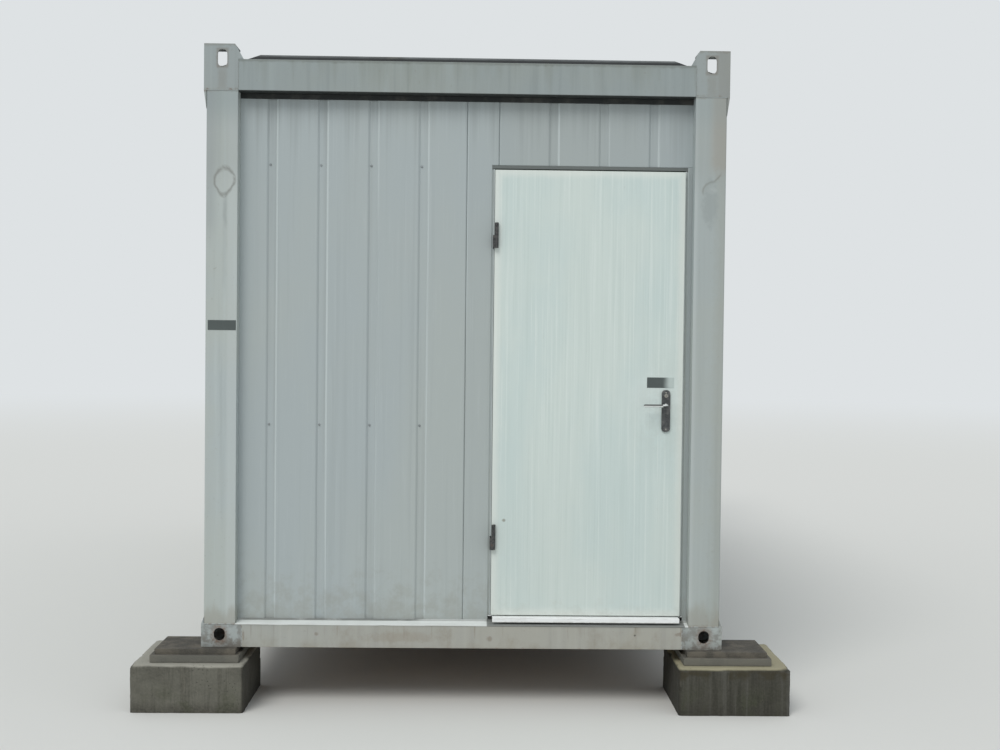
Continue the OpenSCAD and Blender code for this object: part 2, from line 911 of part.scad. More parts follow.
// Plates on both faces of the leaf, each with a hole for the lever's neck
module handle_plates() {
    color([0.30, 0.31, 0.31])
        for (y = [leaf_y - plate_t, leaf_back_y])
            translate([spindle_x, y, lever_z])
                bar_y(plate_t)
                    difference() {
                        translate([0, plate_h / 2 - plate_foot])
                            rounded_plate(plate_w, plate_h, plate_corner);
                        circle(neck_r + neck_play);
                    }
}

// Heads of the lock cylinder on both plates
module lock_cylinder() {
    color([0.55, 0.54, 0.50])
        for (y = [leaf_y - plate_t - lock_proud, leaf_back_y + plate_t])
            translate([spindle_x, y, lever_z + lock_up])
                rotate([-90, 0, 0])
                    cylinder(r = lock_r, h = lock_proud);
}

// Lever on both sides, joined by its neck through the leaf: a round bar that bends out of
// the neck and runs to a domed tip
module lever_handle() {
    half = leaf_t / 2 + plate_t + lever_out;
    neck = leaf_t + 2 * (plate_t + neck_proud);
    module grip() {
        translate([0, half - lever_bend, 0]) {
            translate([-lever_bend, 0, 0])
                rotate_extrude(angle = 90)
                    translate([lever_bend, 0])
                        circle(lever_r);
            translate([-lever_bend, lever_bend, 0])
                rotate([0, -90, 0])
                    cylinder(r = lever_r, h = lever_l - lever_bend - lever_r);
            translate([lever_r - lever_l, lever_bend, 0])
                sphere(lever_r);
        }
        translate([0, neck / 2 - cut, 0])
            rotate([-90, 0, 0])
                cylinder(r = lever_r, h = half - lever_bend - neck / 2 + cut);
    }
    color([0.28, 0.29, 0.30])
        translate([spindle_x, leaf_y + leaf_t / 2, lever_z]) {
            translate([0, -neck / 2, 0])
                rotate([-90, 0, 0])
                    cylinder(r = neck_r, h = neck);
            grip();
            mirror([0, 1, 0])
                grip();
        }
}

concrete_blocks();
packing_plates();
bottom_casting(-1, -1);  // bottom_casting_front_left
bottom_casting(1, -1);  // bottom_casting_front_right
bottom_casting(-1, 1);  // bottom_casting_rear_left
bottom_casting(1, 1);  // bottom_casting_rear_right
post(-1, -1);  // post_front_left
post(1, -1);  // post_front_right
post(-1, 1);  // post_rear_left
post(1, 1);  // post_rear_right
top_head(-1, -1);  // top_head_front_left
top_head(1, -1);  // top_head_front_right
top_head(-1, 1);  // top_head_rear_left
top_head(1, 1);  // top_head_rear_right
floor_rail_end(-1);  // floor_rail_front
floor_rail_end(1);  // floor_rail_rear
floor_rail_side(-1);  // floor_rail_left
floor_rail_side(1);  // floor_rail_right
floor_joists();
floor_deck();
roof_rail_end(-1);  // roof_rail_front
roof_rail_end(1);  // roof_rail_rear
roof_rail_side(-1);  // roof_rail_left
roof_rail_side(1);  // roof_rail_right
ceiling_board();
roof_sheet();
roof_end(-1);  // roof_end_front
roof_end(1);  // roof_end_rear
front_wall_left();
front_wall_infill();
front_wall_lintel();
front_wall_jamb();
rear_wall();
side_wall(-1);  // left_wall
side_wall(1);  // right_wall
drip_flashing();
door_frame();
door_sill();
hinge_pins();
hinge_knuckles();
door_leaf();
handle_plates();
lock_cylinder();
lever_handle();
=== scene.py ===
import math

import bmesh
import bpy
from mathutils import Matrix, Vector, noise


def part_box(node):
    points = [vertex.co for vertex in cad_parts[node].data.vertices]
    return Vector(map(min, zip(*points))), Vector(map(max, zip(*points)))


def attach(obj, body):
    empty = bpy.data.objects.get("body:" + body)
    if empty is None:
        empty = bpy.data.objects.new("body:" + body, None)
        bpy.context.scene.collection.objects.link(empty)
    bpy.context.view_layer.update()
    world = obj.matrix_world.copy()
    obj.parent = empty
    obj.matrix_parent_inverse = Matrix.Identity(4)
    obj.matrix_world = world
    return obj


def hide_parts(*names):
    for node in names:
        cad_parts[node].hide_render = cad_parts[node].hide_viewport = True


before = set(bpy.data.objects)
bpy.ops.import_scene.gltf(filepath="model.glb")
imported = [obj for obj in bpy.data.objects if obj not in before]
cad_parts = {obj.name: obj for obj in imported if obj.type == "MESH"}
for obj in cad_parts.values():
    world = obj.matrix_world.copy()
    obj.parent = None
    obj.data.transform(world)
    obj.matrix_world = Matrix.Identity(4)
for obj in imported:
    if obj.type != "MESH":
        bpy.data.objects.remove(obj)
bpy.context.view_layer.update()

# Concrete blocks
# Four cast concrete blocks stand on the ground under the corners. They are grey, rough and pitted,
# chipped along their edges, streaked by rain and green with algae near the ground.

CORNERS = {"front_left": (-1, -1), "front_right": (1, -1), "rear_left": (-1, 1), "rear_right": (1, 1)}
BLOCK_CUTS = 34
BLOCK_EDGE = 0.007
BLOCK_TOP_EDGE = 0.008
CHIP = 0.050
BLOCK_ROUGH = 0.003


class Wire:
    """One output of a node in a material. Sums on it add Math nodes, and node() adds any other."""

    def __init__(self, tree, socket=None):
        self.tree = tree
        self.socket = socket

    def node(self, kind, settings=None, inputs=None, out=0):
        made = self.tree.nodes.new("ShaderNode" + kind)
        for key, value in (settings or {}).items():
            setattr(made, key, value)
        for key, value in (inputs or {}).items():
            if isinstance(value, Wire):
                self.tree.links.new(value.socket, made.inputs[key])
            else:
                made.inputs[key].default_value = value
        return Wire(self.tree, made.outputs[out] if len(made.outputs) else None)

    def math(self, operation, *values):
        return self.node("Math", {"operation": operation}, dict(enumerate(values)))

    def __add__(self, other):
        return self.math("ADD", self, other)

    def __radd__(self, other):
        return self.math("ADD", other, self)

    def __sub__(self, other):
        return self.math("SUBTRACT", self, other)

    def __rsub__(self, other):
        return self.math("SUBTRACT", other, self)

    def __mul__(self, other):
        return self.math("MULTIPLY", self, other)

    def __abs__(self):
        return self.math("ABSOLUTE", self)

    def root(self):
        return self.math("SQRT", self)

    def least(self, other):
        return self.math("MINIMUM", self, other)

    def most(self, other):
        return self.math("MAXIMUM", self, other)


def seen(red, green, blue):
    """A colour as it is seen, 0 to 255, in the linear values that a shader takes."""
    shares = [value / 255 for value in (red, green, blue)]
    return tuple(s / 12.92 if s < 0.04 else ((s + 0.055) / 1.055) ** 2.4 for s in shares) + (1.0,)


def smooth(value, low, high):
    """0 below low, 1 above high, and a soft change between them."""
    return value.node("MapRange", {"interpolation_type": "SMOOTHSTEP"},
                      {"Value": value, "From Min": low, "From Max": high})


def fall(value, low, high):
    """1 below low, 0 above high, and a soft change between them."""
    return 1 - smooth(value, low, high)


def between(value, low, high, soft):
    """1 from low to high, with soft ends."""
    return smooth(value, low - soft, low + soft) * fall(value, high - soft, high + soft)


def cloud(place, scale, detail=3.0, rough=0.55, warp=0.0):
    """Soft noise of about 0.3 to 0.7, with scale patches a metre."""
    return place.node("TexNoise", {}, {"Vector": place, "Scale": scale, "Detail": detail,
                                       "Roughness": rough, "Distortion": warp})


def drawn(place, x, y, z, detail=3.0, rough=0.55, warp=0.0):
    """Soft noise drawn out, with x, y and z patches a metre along each axis."""
    stretched = place.node("Mapping", {}, {"Vector": place, "Scale": (x, y, z)})
    return cloud(stretched, 1.0, detail, rough, warp)


def cells(place, scale):
    """Distance to the nearest of many scattered points, scale of them a metre."""
    return place.node("TexVoronoi", {"feature": "F1"}, {"Vector": place, "Scale": scale})


def axes(place):
    """The x, y and z of a place."""
    return [place.node("SeparateXYZ", {}, {0: place}, out=k) for k in range(3)]


def tinted(mask, under, over):
    """Colour under where mask is 0 and colour over where it is 1."""
    return mask.node("Mix", {"data_type": "RGBA"}, {0: mask, 6: under, 7: over}, out=2)


class Coat:
    """The finish of a material. Its colour is laid on in layers, and done() makes its shader."""

    def __init__(self, material, colour):
        self.material = material
        self.colour = colour

    def add(self, mask, *over):
        """Lays on a colour, as it is seen, where mask is 1."""
        self.colour = tinted(mask, self.colour, seen(*over))

    def done(self, rough, height, depth, metallic=0.0):
        """Ends the finish with its roughness and a height, 0 to 1, over a depth in metres."""
        wire = Wire(self.material.node_tree)
        normal = wire.node("Bump", {}, {"Height": height, "Distance": depth})
        shader = wire.node("BsdfPrincipled", {}, {"Base Color": self.colour, "Roughness": rough,
                                                  "Metallic": metallic, "Normal": normal})
        wire.node("OutputMaterial", {}, {"Surface": shader})
        return self.material


def start_finish(name, *colour):
    """A new coat of one colour, and the object coordinates in its material."""
    material = bpy.data.materials.new(name)
    material.use_nodes = True
    material.node_tree.nodes.clear()
    coat = Coat(material, seen(*colour))
    return coat, Wire(material.node_tree).node("TexCoord", out="Object")


def concrete_finish():
    coat, place = start_finish("cast_concrete", 79, 78, 70)
    x, _, z = axes(place)
    patches = cloud(place, 5.0, 5.0)
    grain = cloud(place, 90.0, 6.0, 0.7)
    streaks = drawn(place, 46.0, 46.0, 2.0, 4.0)
    pits = fall(cells(place, 70.0), 0.08, 0.20) * smooth(cloud(place, 9.0), 0.50, 0.64)
    older = smooth(x, -0.6, 0.6)
    coat.add(smooth(patches, 0.34, 0.66), 99, 98, 89)
    coat.add(older * 0.78, 52, 51, 43)
    coat.add(smooth(streaks, 0.50, 0.64) * (0.4 + older * 0.2), 50, 49, 42)
    coat.add(smooth(streaks, 0.60, 0.72) * smooth(z, 0.04, 0.16) * 0.4, 122, 119, 107)
    algae = smooth(cloud(place, 7.0, 5.0), 0.46, 0.62) * fall(z, 0.02, 0.17)
    coat.add(algae * 0.5, 60, 66, 43)
    damp = fall(z + cloud(place, 11.0) * 0.05, 0.035, 0.085)
    coat.add(damp * 0.5, 46, 44, 38)
    runs = drawn(place, 26.0, 26.0, 1.1, 4.0)
    coat.add(smooth(runs, 0.50, 0.62) * older * 0.5, 84, 83, 77)
    coat.add(fall(runs, 0.36, 0.47) * older * 0.6, 42, 41, 33)
    coat.add(smooth(grain, 0.35, 0.70) * (0.32 - older * 0.22), 118, 115, 104)
    moss = smooth(cloud(place, 12.0, 5.0), 0.46, 0.60) * between(z, 0.165, 0.211, 0.014) * older
    coat.add(moss * 0.7, 54, 48, 30)
    # Painted shade on the inner sides of the blocks, under the cabin.
    painted_shade_inner_sides = fall(abs(x), BLOCK_IN_X + 0.005, BLOCK_IN_X + 0.014)
    coat.add(painted_shade_inner_sides * 0.6, 40, 38, 31)
    # The top edge and top face are painted lighter: painted light falling on the top.
    rim = smooth(z + patches * 0.02, 0.217, 0.227)
    painted_light_top_colour = tinted(older, seen(160, 158, 147), seen(162, 156, 129))
    coat.colour = tinted(rim * 0.8, coat.colour, painted_light_top_colour)
    coat.add(pits * 0.6, 36, 35, 31)
    height = grain * 0.6 + patches * 0.8 - pits * 0.9
    return coat.done(0.92, height, 0.004)


def quarter_box(node, sx, sy):
    """Box of the part of a CAD node that lies at one corner of the cabin."""
    places = [v.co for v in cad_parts[node].data.vertices if v.co.x * sx > 0 and v.co.y * sy > 0]
    low = Vector([min(p[k] for p in places) for k in range(3)])
    high = Vector([max(p[k] for p in places) for k in range(3)])
    return low, high


def placed(name, data):
    """A new object in the scene."""
    made = bpy.data.objects.new(name, data)
    bpy.context.scene.collection.objects.link(made)
    return made


def finish_piece(name, bm, body, slot, *materials, replaces=(), sharp=12.0):
    """Makes a shaped bmesh a piece of the cabin: its object, shading, finish and body. The slot argument is
    not used.
    """
    mesh = bpy.data.meshes.new(name)
    bm.to_mesh(mesh)
    bm.free()
    for material in materials:
        mesh.materials.append(material)
    mesh.shade_smooth()
    mesh.set_sharp_from_angle(angle=math.radians(sharp))
    piece = placed(name, mesh)
    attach(piece, body)
    if replaces:
        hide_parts(*replaces)


def add_box(bm, low, high):
    """Adds a plain box between two corners."""
    size = Vector(high) - Vector(low)
    middle = (Vector(high) + Vector(low)) / 2
    matrix = Matrix.Translation(middle) @ Matrix.Diagonal((*size, 1.0))
    bmesh.ops.create_cube(bm, size=1.0, matrix=matrix)


def worn(co, low, high):
    """Moves a point of a block's surface inwards where an edge is worn, chipped or bevelled."""
    out = co.copy()
    chips = max(0.0, noise.noise(co * 9.0) + 0.35 * noise.noise(co * 31.0) - 0.16)
    for a, b in ((0, 1), (0, 2), (1, 2)):
        near_a = min(co[a] - low[a], high[a] - co[a])
        near_b = high.z - co.z if b == 2 else min(co[b] - low[b], high[b] - co[b])
        edge = (BLOCK_TOP_EDGE if b == 2 else BLOCK_EDGE) + CHIP * chips
        push = (edge - near_a - near_b) / 2
        if push > 0:
            out[a] += push if co[a] < (low[a] + high[a]) / 2 else -push
            out[b] -= push if b == 2 or co[b] > (low[b] + high[b]) / 2 else -push
    rough = max(0.0, 0.5 + 0.5 * noise.fractal(out * 24.0, 0.8, 2.0, 3))
    out += ((low + high) / 2 - out).normalized() * BLOCK_ROUGH * rough
    out.z = max(out.z, low.z)
    return out


blocks = {signs: quarter_box("concrete_blocks", *signs) for signs in CORNERS.values()}
BLOCK_IN_X = blocks[1, -1][0].x
bm = bmesh.new()
for low, high in blocks.values():
    add_box(bm, low, high)
bmesh.ops.subdivide_edges(bm, edges=bm.edges[:], cuts=BLOCK_CUTS, use_grid_fill=True)
for v in bm.verts:
    v.co = worn(v.co, *blocks[int(math.copysign(1, v.co.x)), int(math.copysign(1, v.co.y))])
finish_piece("cast_blocks", bm, "cabin", "concrete", concrete_finish(),
             replaces=["concrete_blocks"], sharp=35.0)

# Packing plates
# Two plates of recycled rubber granules lie between each block and its casting, cut by saw. They
# level the cabin, and are black where they are sheltered and dusty on their edges.

RUBBER_EDGE = 0.0025
PLATE_JOINT = 0.255


def rubber_finish():
    coat, place = start_finish("rubber_granules", 52, 50, 46)
    granules = cells(place, 260.0)
    dust = smooth(cloud(place, 16.0, 4.0), 0.38, 0.68)
    saw = drawn(place, 9.0, 9.0, 320.0, 3.0)
    coat.add(smooth(granules, 0.15, 0.6), 76, 73, 66)
    coat.add(dust * 0.6, 108, 102, 90)
    lower = fall(axes(place)[2], PLATE_JOINT - 0.002, PLATE_JOINT + 0.001)
    coat.add(lower * 0.55, 116, 116, 108)
    height = granules * 0.7 + saw * 0.5
    return coat.done(0.88, height, 0.0016)


def cad_copy(node):
    """A CAD node's mesh with its triangles joined again into whole faces."""
    bm = bmesh.new()
    bm.from_mesh(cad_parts[node].data)
    bmesh.ops.remove_doubles(bm, verts=bm.verts, dist=0.00002)
    bmesh.ops.dissolve_limit(bm, angle_limit=math.radians(0.5), verts=bm.verts, edges=bm.edges)
    return bm


def round_edges(bm, radius, limit=25.0):
    """Rounds the outer edges where both faces are wide enough for the radius."""
    picked = []
    for e in bm.edges:
        if len(e.link_faces) != 2 or e.calc_face_angle_signed(0) < math.radians(limit):
            continue
        if min(f.calc_area() / e.calc_length() for f in e.link_faces) > 2.2 * radius:
            picked.append(e)
    bmesh.ops.bevel(bm, geom=picked, offset=radius, segments=2, profile=0.5, affect="EDGES",
                    clamp_overlap=True, material=-1)
    return bm


def copy_piece(name, node, radius, body, slot, material, limit=25.0):
    """A copy of a CAD node with rounded edges, which takes the node's place."""
    bm = round_edges(cad_copy(node), radius, limit)
    finish_piece(name, bm, body, slot, material, replaces=[node])


copy_piece("rubber_plates", "packing_plates", RUBBER_EDGE, "cabin", "packing", rubber_finish())

# Corner castings
# Hollow steel castings at the four lower corners, with holes to lift and lock it by. They
# are welded to the posts and rails and painted with them, and rust starts round their holes.

BASE_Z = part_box("bottom_casting_front_left")[0].z
WALL_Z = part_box("floor_rail_front")[1].z
HEAD_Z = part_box("roof_rail_front")[0].z
TOP_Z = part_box("top_head_front_left")[1].z
FRONT_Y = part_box("floor_rail_front")[0].y
POST_LOW, POST_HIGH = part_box("post_front_right")
POST_IN_X, SIDE_X = POST_LOW.x, POST_HIGH.x
HOLE_X = (POST_LOW.x + POST_HIGH.x) / 2
HOLE_Y = -(POST_LOW.y + POST_HIGH.y) / 2
CAST_HOLE_DROP = 0.049
CAST_EDGE = 0.003
PAINT = (171, 180, 180)
SOIL = (118, 110, 95)
RUST = (112, 74, 48)


def distance(across, along):
    """How far a place lies from a middle."""
    return (across * across + along * along).root()


def weathered(coat, place, seed):
    """Weathers a coat of satin paint on steel and returns its roughness and height."""
    moved = place.node("VectorMath", {"operation": "ADD"}, {0: place, 1: (seed, seed * 1.7, 0.0)})
    broad = cloud(moved, 1.9, 4.0)
    streaks = drawn(moved, 30.0, 30.0, 0.9, 4.0)
    specks = cloud(moved, 60.0, 5.0, 0.7)
    paint = coat.colour
    for mask, shares in ((smooth(broad, 0.38, 0.64) * 0.6, (1.05, 1.01, 0.93)),
                         (smooth(streaks, 0.52, 0.70) * 0.28, (0.68, 0.69, 0.68)),
                         (fall(streaks, 0.32, 0.47) * 0.4, (1.15, 1.15, 1.14))):
        layer = tuple(part * share for part, share in zip(paint, shares)) + (1.0,)
        coat.colour = tinted(mask, coat.colour, layer)
    coat.add(smooth(specks, 0.61, 0.74) * 0.30, *SOIL)
    rough = 0.42 + streaks * 0.22 + specks * 0.10
    height = cloud(moved, 420.0, 2.0) * 0.5 + specks * 0.25
    return rough, height


def casting_finish():
    coat, place = start_finish("casting_paint", *PAINT)
    rough, height = weathered(coat, place, 3.0)
    x, y, z = axes(place)
    up = z - BASE_Z
    patches = cloud(place, 24.0, 6.0, 0.65)
    soil = smooth(patches + (0.05 - up) * 3.0, 0.46, 0.70)
    coat.add(soil * 0.55, *SOIL)
    grime = (0.24 + smooth(patches, 0.40, 0.56) * 0.36 + fall(up, 0.004, 0.050) * 0.20).least(0.8)
    coat.add(grime, 100, 95, 88)
    tall = (z - WALL_Z + CAST_HOLE_DROP) * 0.8
    to_hole = distance(abs(x) - HOLE_X, tall).least(distance(abs(y) - HOLE_Y, tall))
    near_hole = fall(to_hole + patches * 0.02, 0.032, 0.062)
    coat.add(near_hole * 0.45, 122, 108, 96)
    rust = near_hole * smooth(cloud(place, 70.0, 5.0, 0.7), 0.46, 0.62)
    rust = rust.most(smooth(cloud(place, 40.0, 6.0, 0.7), 0.66, 0.74) * 0.6)
    coat.add(rust * 0.5, *RUST)
    return coat.done(rough + rust * 0.3, height + soil * 0.5 + rust * 0.8, 0.0010)


casting_paint = casting_finish()
for corner in CORNERS:
    copy_piece("casting_" + corner, "bottom_casting_" + corner, CAST_EDGE, "cabin", "frame_paint",
               casting_paint)

# Floor rails
# Cold rolled steel channels between the castings carry the floor and the walls. They are painted
# like the posts, with splashes of soil, and rust creeps out of their lower edge.

SIDES = ("front", "rear", "left", "right")
RAIL_BEND = 0.005
RAIL_STAINS = [(-1.022, 0.333, 0.006, 0.030), (-0.682, 0.344, 0.012, 0.010),
               (0.128, 0.325, 0.016, 0.014), (1.018, 0.352, 0.022, 0.012)]
RAIL_FILM = (-0.28, 0.330, 0.22, 0.030)
DARK_SPOT = (0.809, 0.346, 0.006, 0.006)


def on_front(y):
    """1 on the front faces of the posts, rails, castings and heads."""
    return fall(y, FRONT_Y + 0.002, FRONT_Y + 0.004)


def stain(place, at, ragged):
    """A ragged spot on the front face, from its middle's x and z and its half width and height."""
    x, y, z = axes(place)
    middle_x, middle_z, half_w, half_h = at
    away = distance((x - middle_x) * (1 / half_w), (z - middle_z) * (1 / half_h))
    return fall(away + (ragged - 0.5) * 1.6, 0.4, 1.1) * on_front(y)


def floor_rail_finish():
    coat, place = start_finish("floor_rail_paint", 162, 164, 158)
    rough, height = weathered(coat, place, 11.0)
    x, _, z = axes(place)
    up = z - BASE_Z
    coat.add(smooth(x, -0.95, -0.30) * 0.3, 158, 153, 142)
    splash = drawn(place, 7.0, 7.0, 5.0, 6.0, 0.65)
    soil = smooth(splash + (0.10 - up) * 1.2, 0.50, 0.76)
    coat.add(soil * 0.45, 132, 124, 106)
    drips = drawn(place, 60.0, 60.0, 3.0, 3.0)
    coat.add(smooth(drips, 0.60, 0.72) * smooth(up, 0.02, 0.09) * 0.35, 116, 105, 88)
    ragged = cloud(place, 40.0, 5.0, 0.7)
    coat.add(stain(place, RAIL_FILM, ragged) * 0.22, 126, 108, 84)
    for spot in RAIL_STAINS:
        coat.add(stain(place, spot, ragged) * 0.42, 104, 84, 64)
    coat.add(stain(place, DARK_SPOT, ragged) * 0.8, 66, 62, 56)
    rust = smooth(ragged + (0.008 - up) * 12.0, 0.60, 0.78)
    rust = rust.most(smooth(cloud(place, 15.0, 7.0, 0.75), 0.69, 0.72) * 0.6)
    coat.add(rust * 0.45, *RUST)
    return coat.done(rough + soil * 0.2, height + rust * 0.6, 0.0010)


floor_rail_paint = floor_rail_finish()
for side in SIDES:
    copy_piece("lower_rail_" + side, "floor_rail_" + side, RAIL_BEND, "cabin", "frame_paint",
               floor_rail_paint)

# Floor
# Folded galvanised joists span between the long rails under a deck of plywood, which is covered
# with a grey speckled vinyl sheet. The joists keep the spangle of their zinc.

JOIST_BEND = 0.003
VINYL_LEVEL = (0.0225, 0.0235)


def zinc_finish(name, bright, dull):
    coat, place = start_finish(name, *dull)
    spangle = place.node("TexVoronoi", {"feature": "F1"}, {"Vector": place, "Scale": 46.0}, out="Color")
    grey = spangle.node("RGBToBW", {}, {0: spangle})
    bloom = cloud(place, 6.0, 5.0)
    coat.add(grey * 0.8, *bright)
    coat.add(smooth(bloom, 0.50, 0.70) * 0.6, 150, 152, 150)
    rough = 0.40 + grey * 0.12 + bloom * 0.25
    return coat.done(rough, grey * 0.4 + bloom, 0.0006, metallic=0.6)


def vinyl_finish():
    coat, place = start_finish("floor_vinyl", 150, 150, 146)
    specks = cells(place, 210.0)
    tread = drawn(place, 2.0, 0.8, 1.0, 4.0)
    coat.add(smooth(specks, 0.28, 0.34), 104, 107, 110)
    coat.add(smooth(tread, 0.42, 0.66) * 0.4, 88, 84, 76)
    coat.add(fall(axes(place)[2] - WALL_Z, *VINYL_LEVEL), 150, 118, 82)
    return coat.done(0.45 + tread * 0.25, specks * 0.3 + tread, 0.0006)


def dress(node, material):
    """Gives a CAD node that stays as it is its finish."""
    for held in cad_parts[node].material_slots:
        held.material = material


joist_zinc = zinc_finish("joist_zinc", (168, 172, 174), (120, 125, 128))
copy_piece("steel_joists", "floor_joists", JOIST_BEND, "cabin", "galvanised", joist_zinc)
dress("floor_deck", vinyl_finish())

# Corner posts
# Each post is folded from 4 mm steel sheet and welded to the casting below it and the head above.
# The front posts carry the marks of use: a round trace of glue, dirt that ran down, a dark strip.

POST_BEND_SOFT = 0.004
GLUE_RING = (-1.124, 2.446, 0.051)
GLUE_ARC = (1.150, 2.425, 0.054)
GLUE_TAIL = (1.164, 2.490, 0.018)
LIGHT_SPOT = (1.141, 2.433, 0.030, 0.018)
DULL_SPOT = (1.135, 2.370, 0.046, 0.130)


def post_finish():
    coat, place = start_finish("post_paint", *PAINT)
    rough, height = weathered(coat, place, 0.0)
    x, y, z = axes(place)
    up, drop = z - WALL_Z, HEAD_Z - z
    front = on_front(y)
    ragged = cloud(place, 30.0, 5.0, 0.7)
    right = smooth(x, -0.5, 0.5)
    coat.add(right * front * 0.40, 149, 156, 153)
    # Painted highlight: a lighter strip along the inner edge of the front posts.
    painted_light_strip = fall(abs(x) + right * 0.030, POST_IN_X + 0.036, POST_IN_X + 0.054)
    coat.add(painted_light_strip * front * 0.35, 188, 195, 194)
    film = smooth(abs(x) + (ragged - 0.5) * 0.06, SIDE_X - 0.070, SIDE_X - 0.015)
    film = film * (0.25 + right * 0.75) * front
    coat.add(film * 0.28, 146, 146, 134)
    coat.add(smooth(z, 2.36, 2.56) * front * 0.36, 148, 154, 152)
    brown = smooth(x, SIDE_X - 0.090, SIDE_X - 0.050) * smooth(z + ragged * 0.12, 2.54, 2.62) * front
    coat.add(brown * 0.4, 152, 143, 130)
    shade = smooth(z, HEAD_Z - 0.20, HEAD_Z - 0.03) * (1 - right * 0.45) * front
    coat.add(shade * 0.5, 134, 146, 147)
    # Painted shade on the upper outer edge of the front posts.
    painted_shade_outer_edge = smooth(x * -1, SIDE_X - 0.070, SIDE_X - 0.020) * smooth(z, 2.12, 2.30) * front
    coat.add(painted_shade_outer_edge * 0.3, 132, 138, 143)
    soil = smooth(drawn(place, 12.0, 12.0, 4.0, 5.0) - up * 3.0, 0.20, 0.50)
    coat.add(soil * 0.45, 140, 134, 120)
    weld_dirt = smooth(ragged - up * 20.0, 0.25, 0.55).most(smooth(ragged - drop * 22.0, 0.30, 0.60))
    coat.add(weld_dirt * 0.4, 122, 112, 96)
    wobble = cloud(place, 15.0, 3.0) - 0.5
    ring_x, ring_z, ring_r = GLUE_RING
    below = (ring_z - z).most(0.0)
    pointed = 1 + (below - 0.015).most(0.0) * 11.0
    away = distance((x - ring_x) * pointed, (z - ring_z) * 0.74) + wobble * 0.034
    inside = fall(away, ring_r - 0.014, ring_r - 0.004) * front
    coat.add(inside * 0.3, 176, 181, 178)
    ring = between(away, ring_r - 0.011, ring_r, 0.006) * smooth(ragged, 0.28, 0.48) * front
    coat.add(ring * 0.72, 124, 125, 120)
    run = between(x - ring_x + wobble * 0.02, -0.003, 0.013, 0.007) * front
    run = run * (between(below, 0.070, 0.200, 0.030) * 0.6 + between(below, 0.070, 0.50, 0.08) * 0.4)
    coat.add(run * 0.5, 138, 144, 142)
    arc_x, arc_z, arc_r = GLUE_ARC
    across, along = x - arc_x, z - arc_z
    arc = between(distance(across, along) + wobble * 0.020, arc_r - 0.009, arc_r, 0.005)
    arc = arc * smooth(along - across, 0.025, 0.055)
    tail_x, tail_z, tail_half = GLUE_TAIL
    tail = between((z - tail_z) - (x - tail_x) + wobble * 0.020, -0.006, 0.006, 0.005)
    arc = arc.most(tail * between(x - tail_x, -tail_half, tail_half, 0.008)) * front
    coat.add(arc * 0.5, 118, 118, 108)
    coat.add(stain(place, LIGHT_SPOT, ragged) * 0.5, 182, 189, 187)
    coat.add(stain(place, DULL_SPOT, ragged) * 0.45, 136, 143, 142)
    return coat.done(rough, height, 0.0008)


post_paint = post_finish()
for corner in CORNERS:
    copy_piece("corner_post_" + corner, "post_" + corner, POST_BEND_SOFT, "cabin", "frame_paint",
               post_paint)

# Corner heads
# Plates with lifting slots are welded into a head on each post, with gussets out over the roof
# rails. Lifting has rubbed the rims of the slots, where soil and a little rust sit.

HEAD_EDGE = 0.0018
SLOT_DROP = 0.066


def head_finish():
    coat, place = start_finish("head_paint", 148, 156, 156)
    rough, height = weathered(coat, place, 7.0)
    x, y, z = axes(place)
    ragged = cloud(place, 42.0, 6.0, 0.7)
    beside = abs(abs(x) - HOLE_X).least(abs(abs(y) - HOLE_Y)) + (ragged - 0.5) * 0.02
    tall = abs(z - TOP_Z + SLOT_DROP)
    rim = fall(beside, 0.022, 0.034) * fall(tall + ragged * 0.01, 0.044, 0.058)
    coat.add(rim * 0.5, 116, 108, 98)
    below = between(TOP_Z - SLOT_DROP - z, 0.045, 0.150, 0.03) * fall(beside, 0.010, 0.030)
    coat.add(below * 0.25, 120, 112, 98)
    cheek = smooth(z, HEAD_Z - 0.012, HEAD_Z - 0.002)
    foot = smooth(ragged - (z - HEAD_Z) * 16.0, 0.30, 0.60) * (0.2 + cheek * 0.8)
    top = smooth(z + (ragged - 0.5) * 0.03, TOP_Z - 0.016, TOP_Z - 0.002)
    coat.add(foot.most(top) * 0.35, 118, 112, 98)
    brown = smooth(x, SIDE_X - 0.075, SIDE_X - 0.030) * on_front(y)
    coat.add(brown * 0.26, 118, 108, 98)
    rust = rim.most(foot) * smooth(ragged, 0.54, 0.66)
    coat.add(rust * 0.4, *RUST)
    return coat.done(rough + rust * 0.3, height + rust * 0.8, 0.0010)


head_paint = head_finish()
for corner in CORNERS:
    copy_piece("head_" + corner, "top_head_" + corner, HEAD_EDGE, "cabin", "frame_paint", head_paint)

# Roof rails
# Deep rolled channels between the heads hold the ceiling and the roof. Water that stands behind
# them has left them a shade darker and greener than the posts.


def roof_rail_finish():
    coat, place = start_finish("roof_rail_paint", 143, 152, 152)
    rough, height = weathered(coat, place, 17.0)
    z = axes(place)[2]
    up = z - HEAD_Z
    runs = drawn(place, 22.0, 22.0, 1.4, 4.0)
    coat.add(smooth(runs + up * 1.6, 0.60, 0.88) * 0.35, 126, 132, 124)
    lip = smooth(up + cloud(place, 30.0) * 0.02, 0.138, 0.150)
    coat.add(lip * 0.5, 104, 108, 102)
    # The underside is painted near black: painted shade under the rails.
    painted_shade_underside = fall(up, 0.001, 0.004)
    coat.add(painted_shade_underside * 0.95, 36, 39, 38)
    return coat.done(rough, height, 0.0008)


roof_rail_paint = roof_rail_finish()
for side in SIDES:
    copy_piece("upper_rail_" + side, "roof_rail_" + side, RAIL_BEND, "cabin", "frame_paint",
               roof_rail_paint)

# Weld seams
# The castings, posts, heads and rails are joined by single runs of weld, painted over. They show
# as rippled lines about 6 mm wide, and soil stains the ones near the ground.

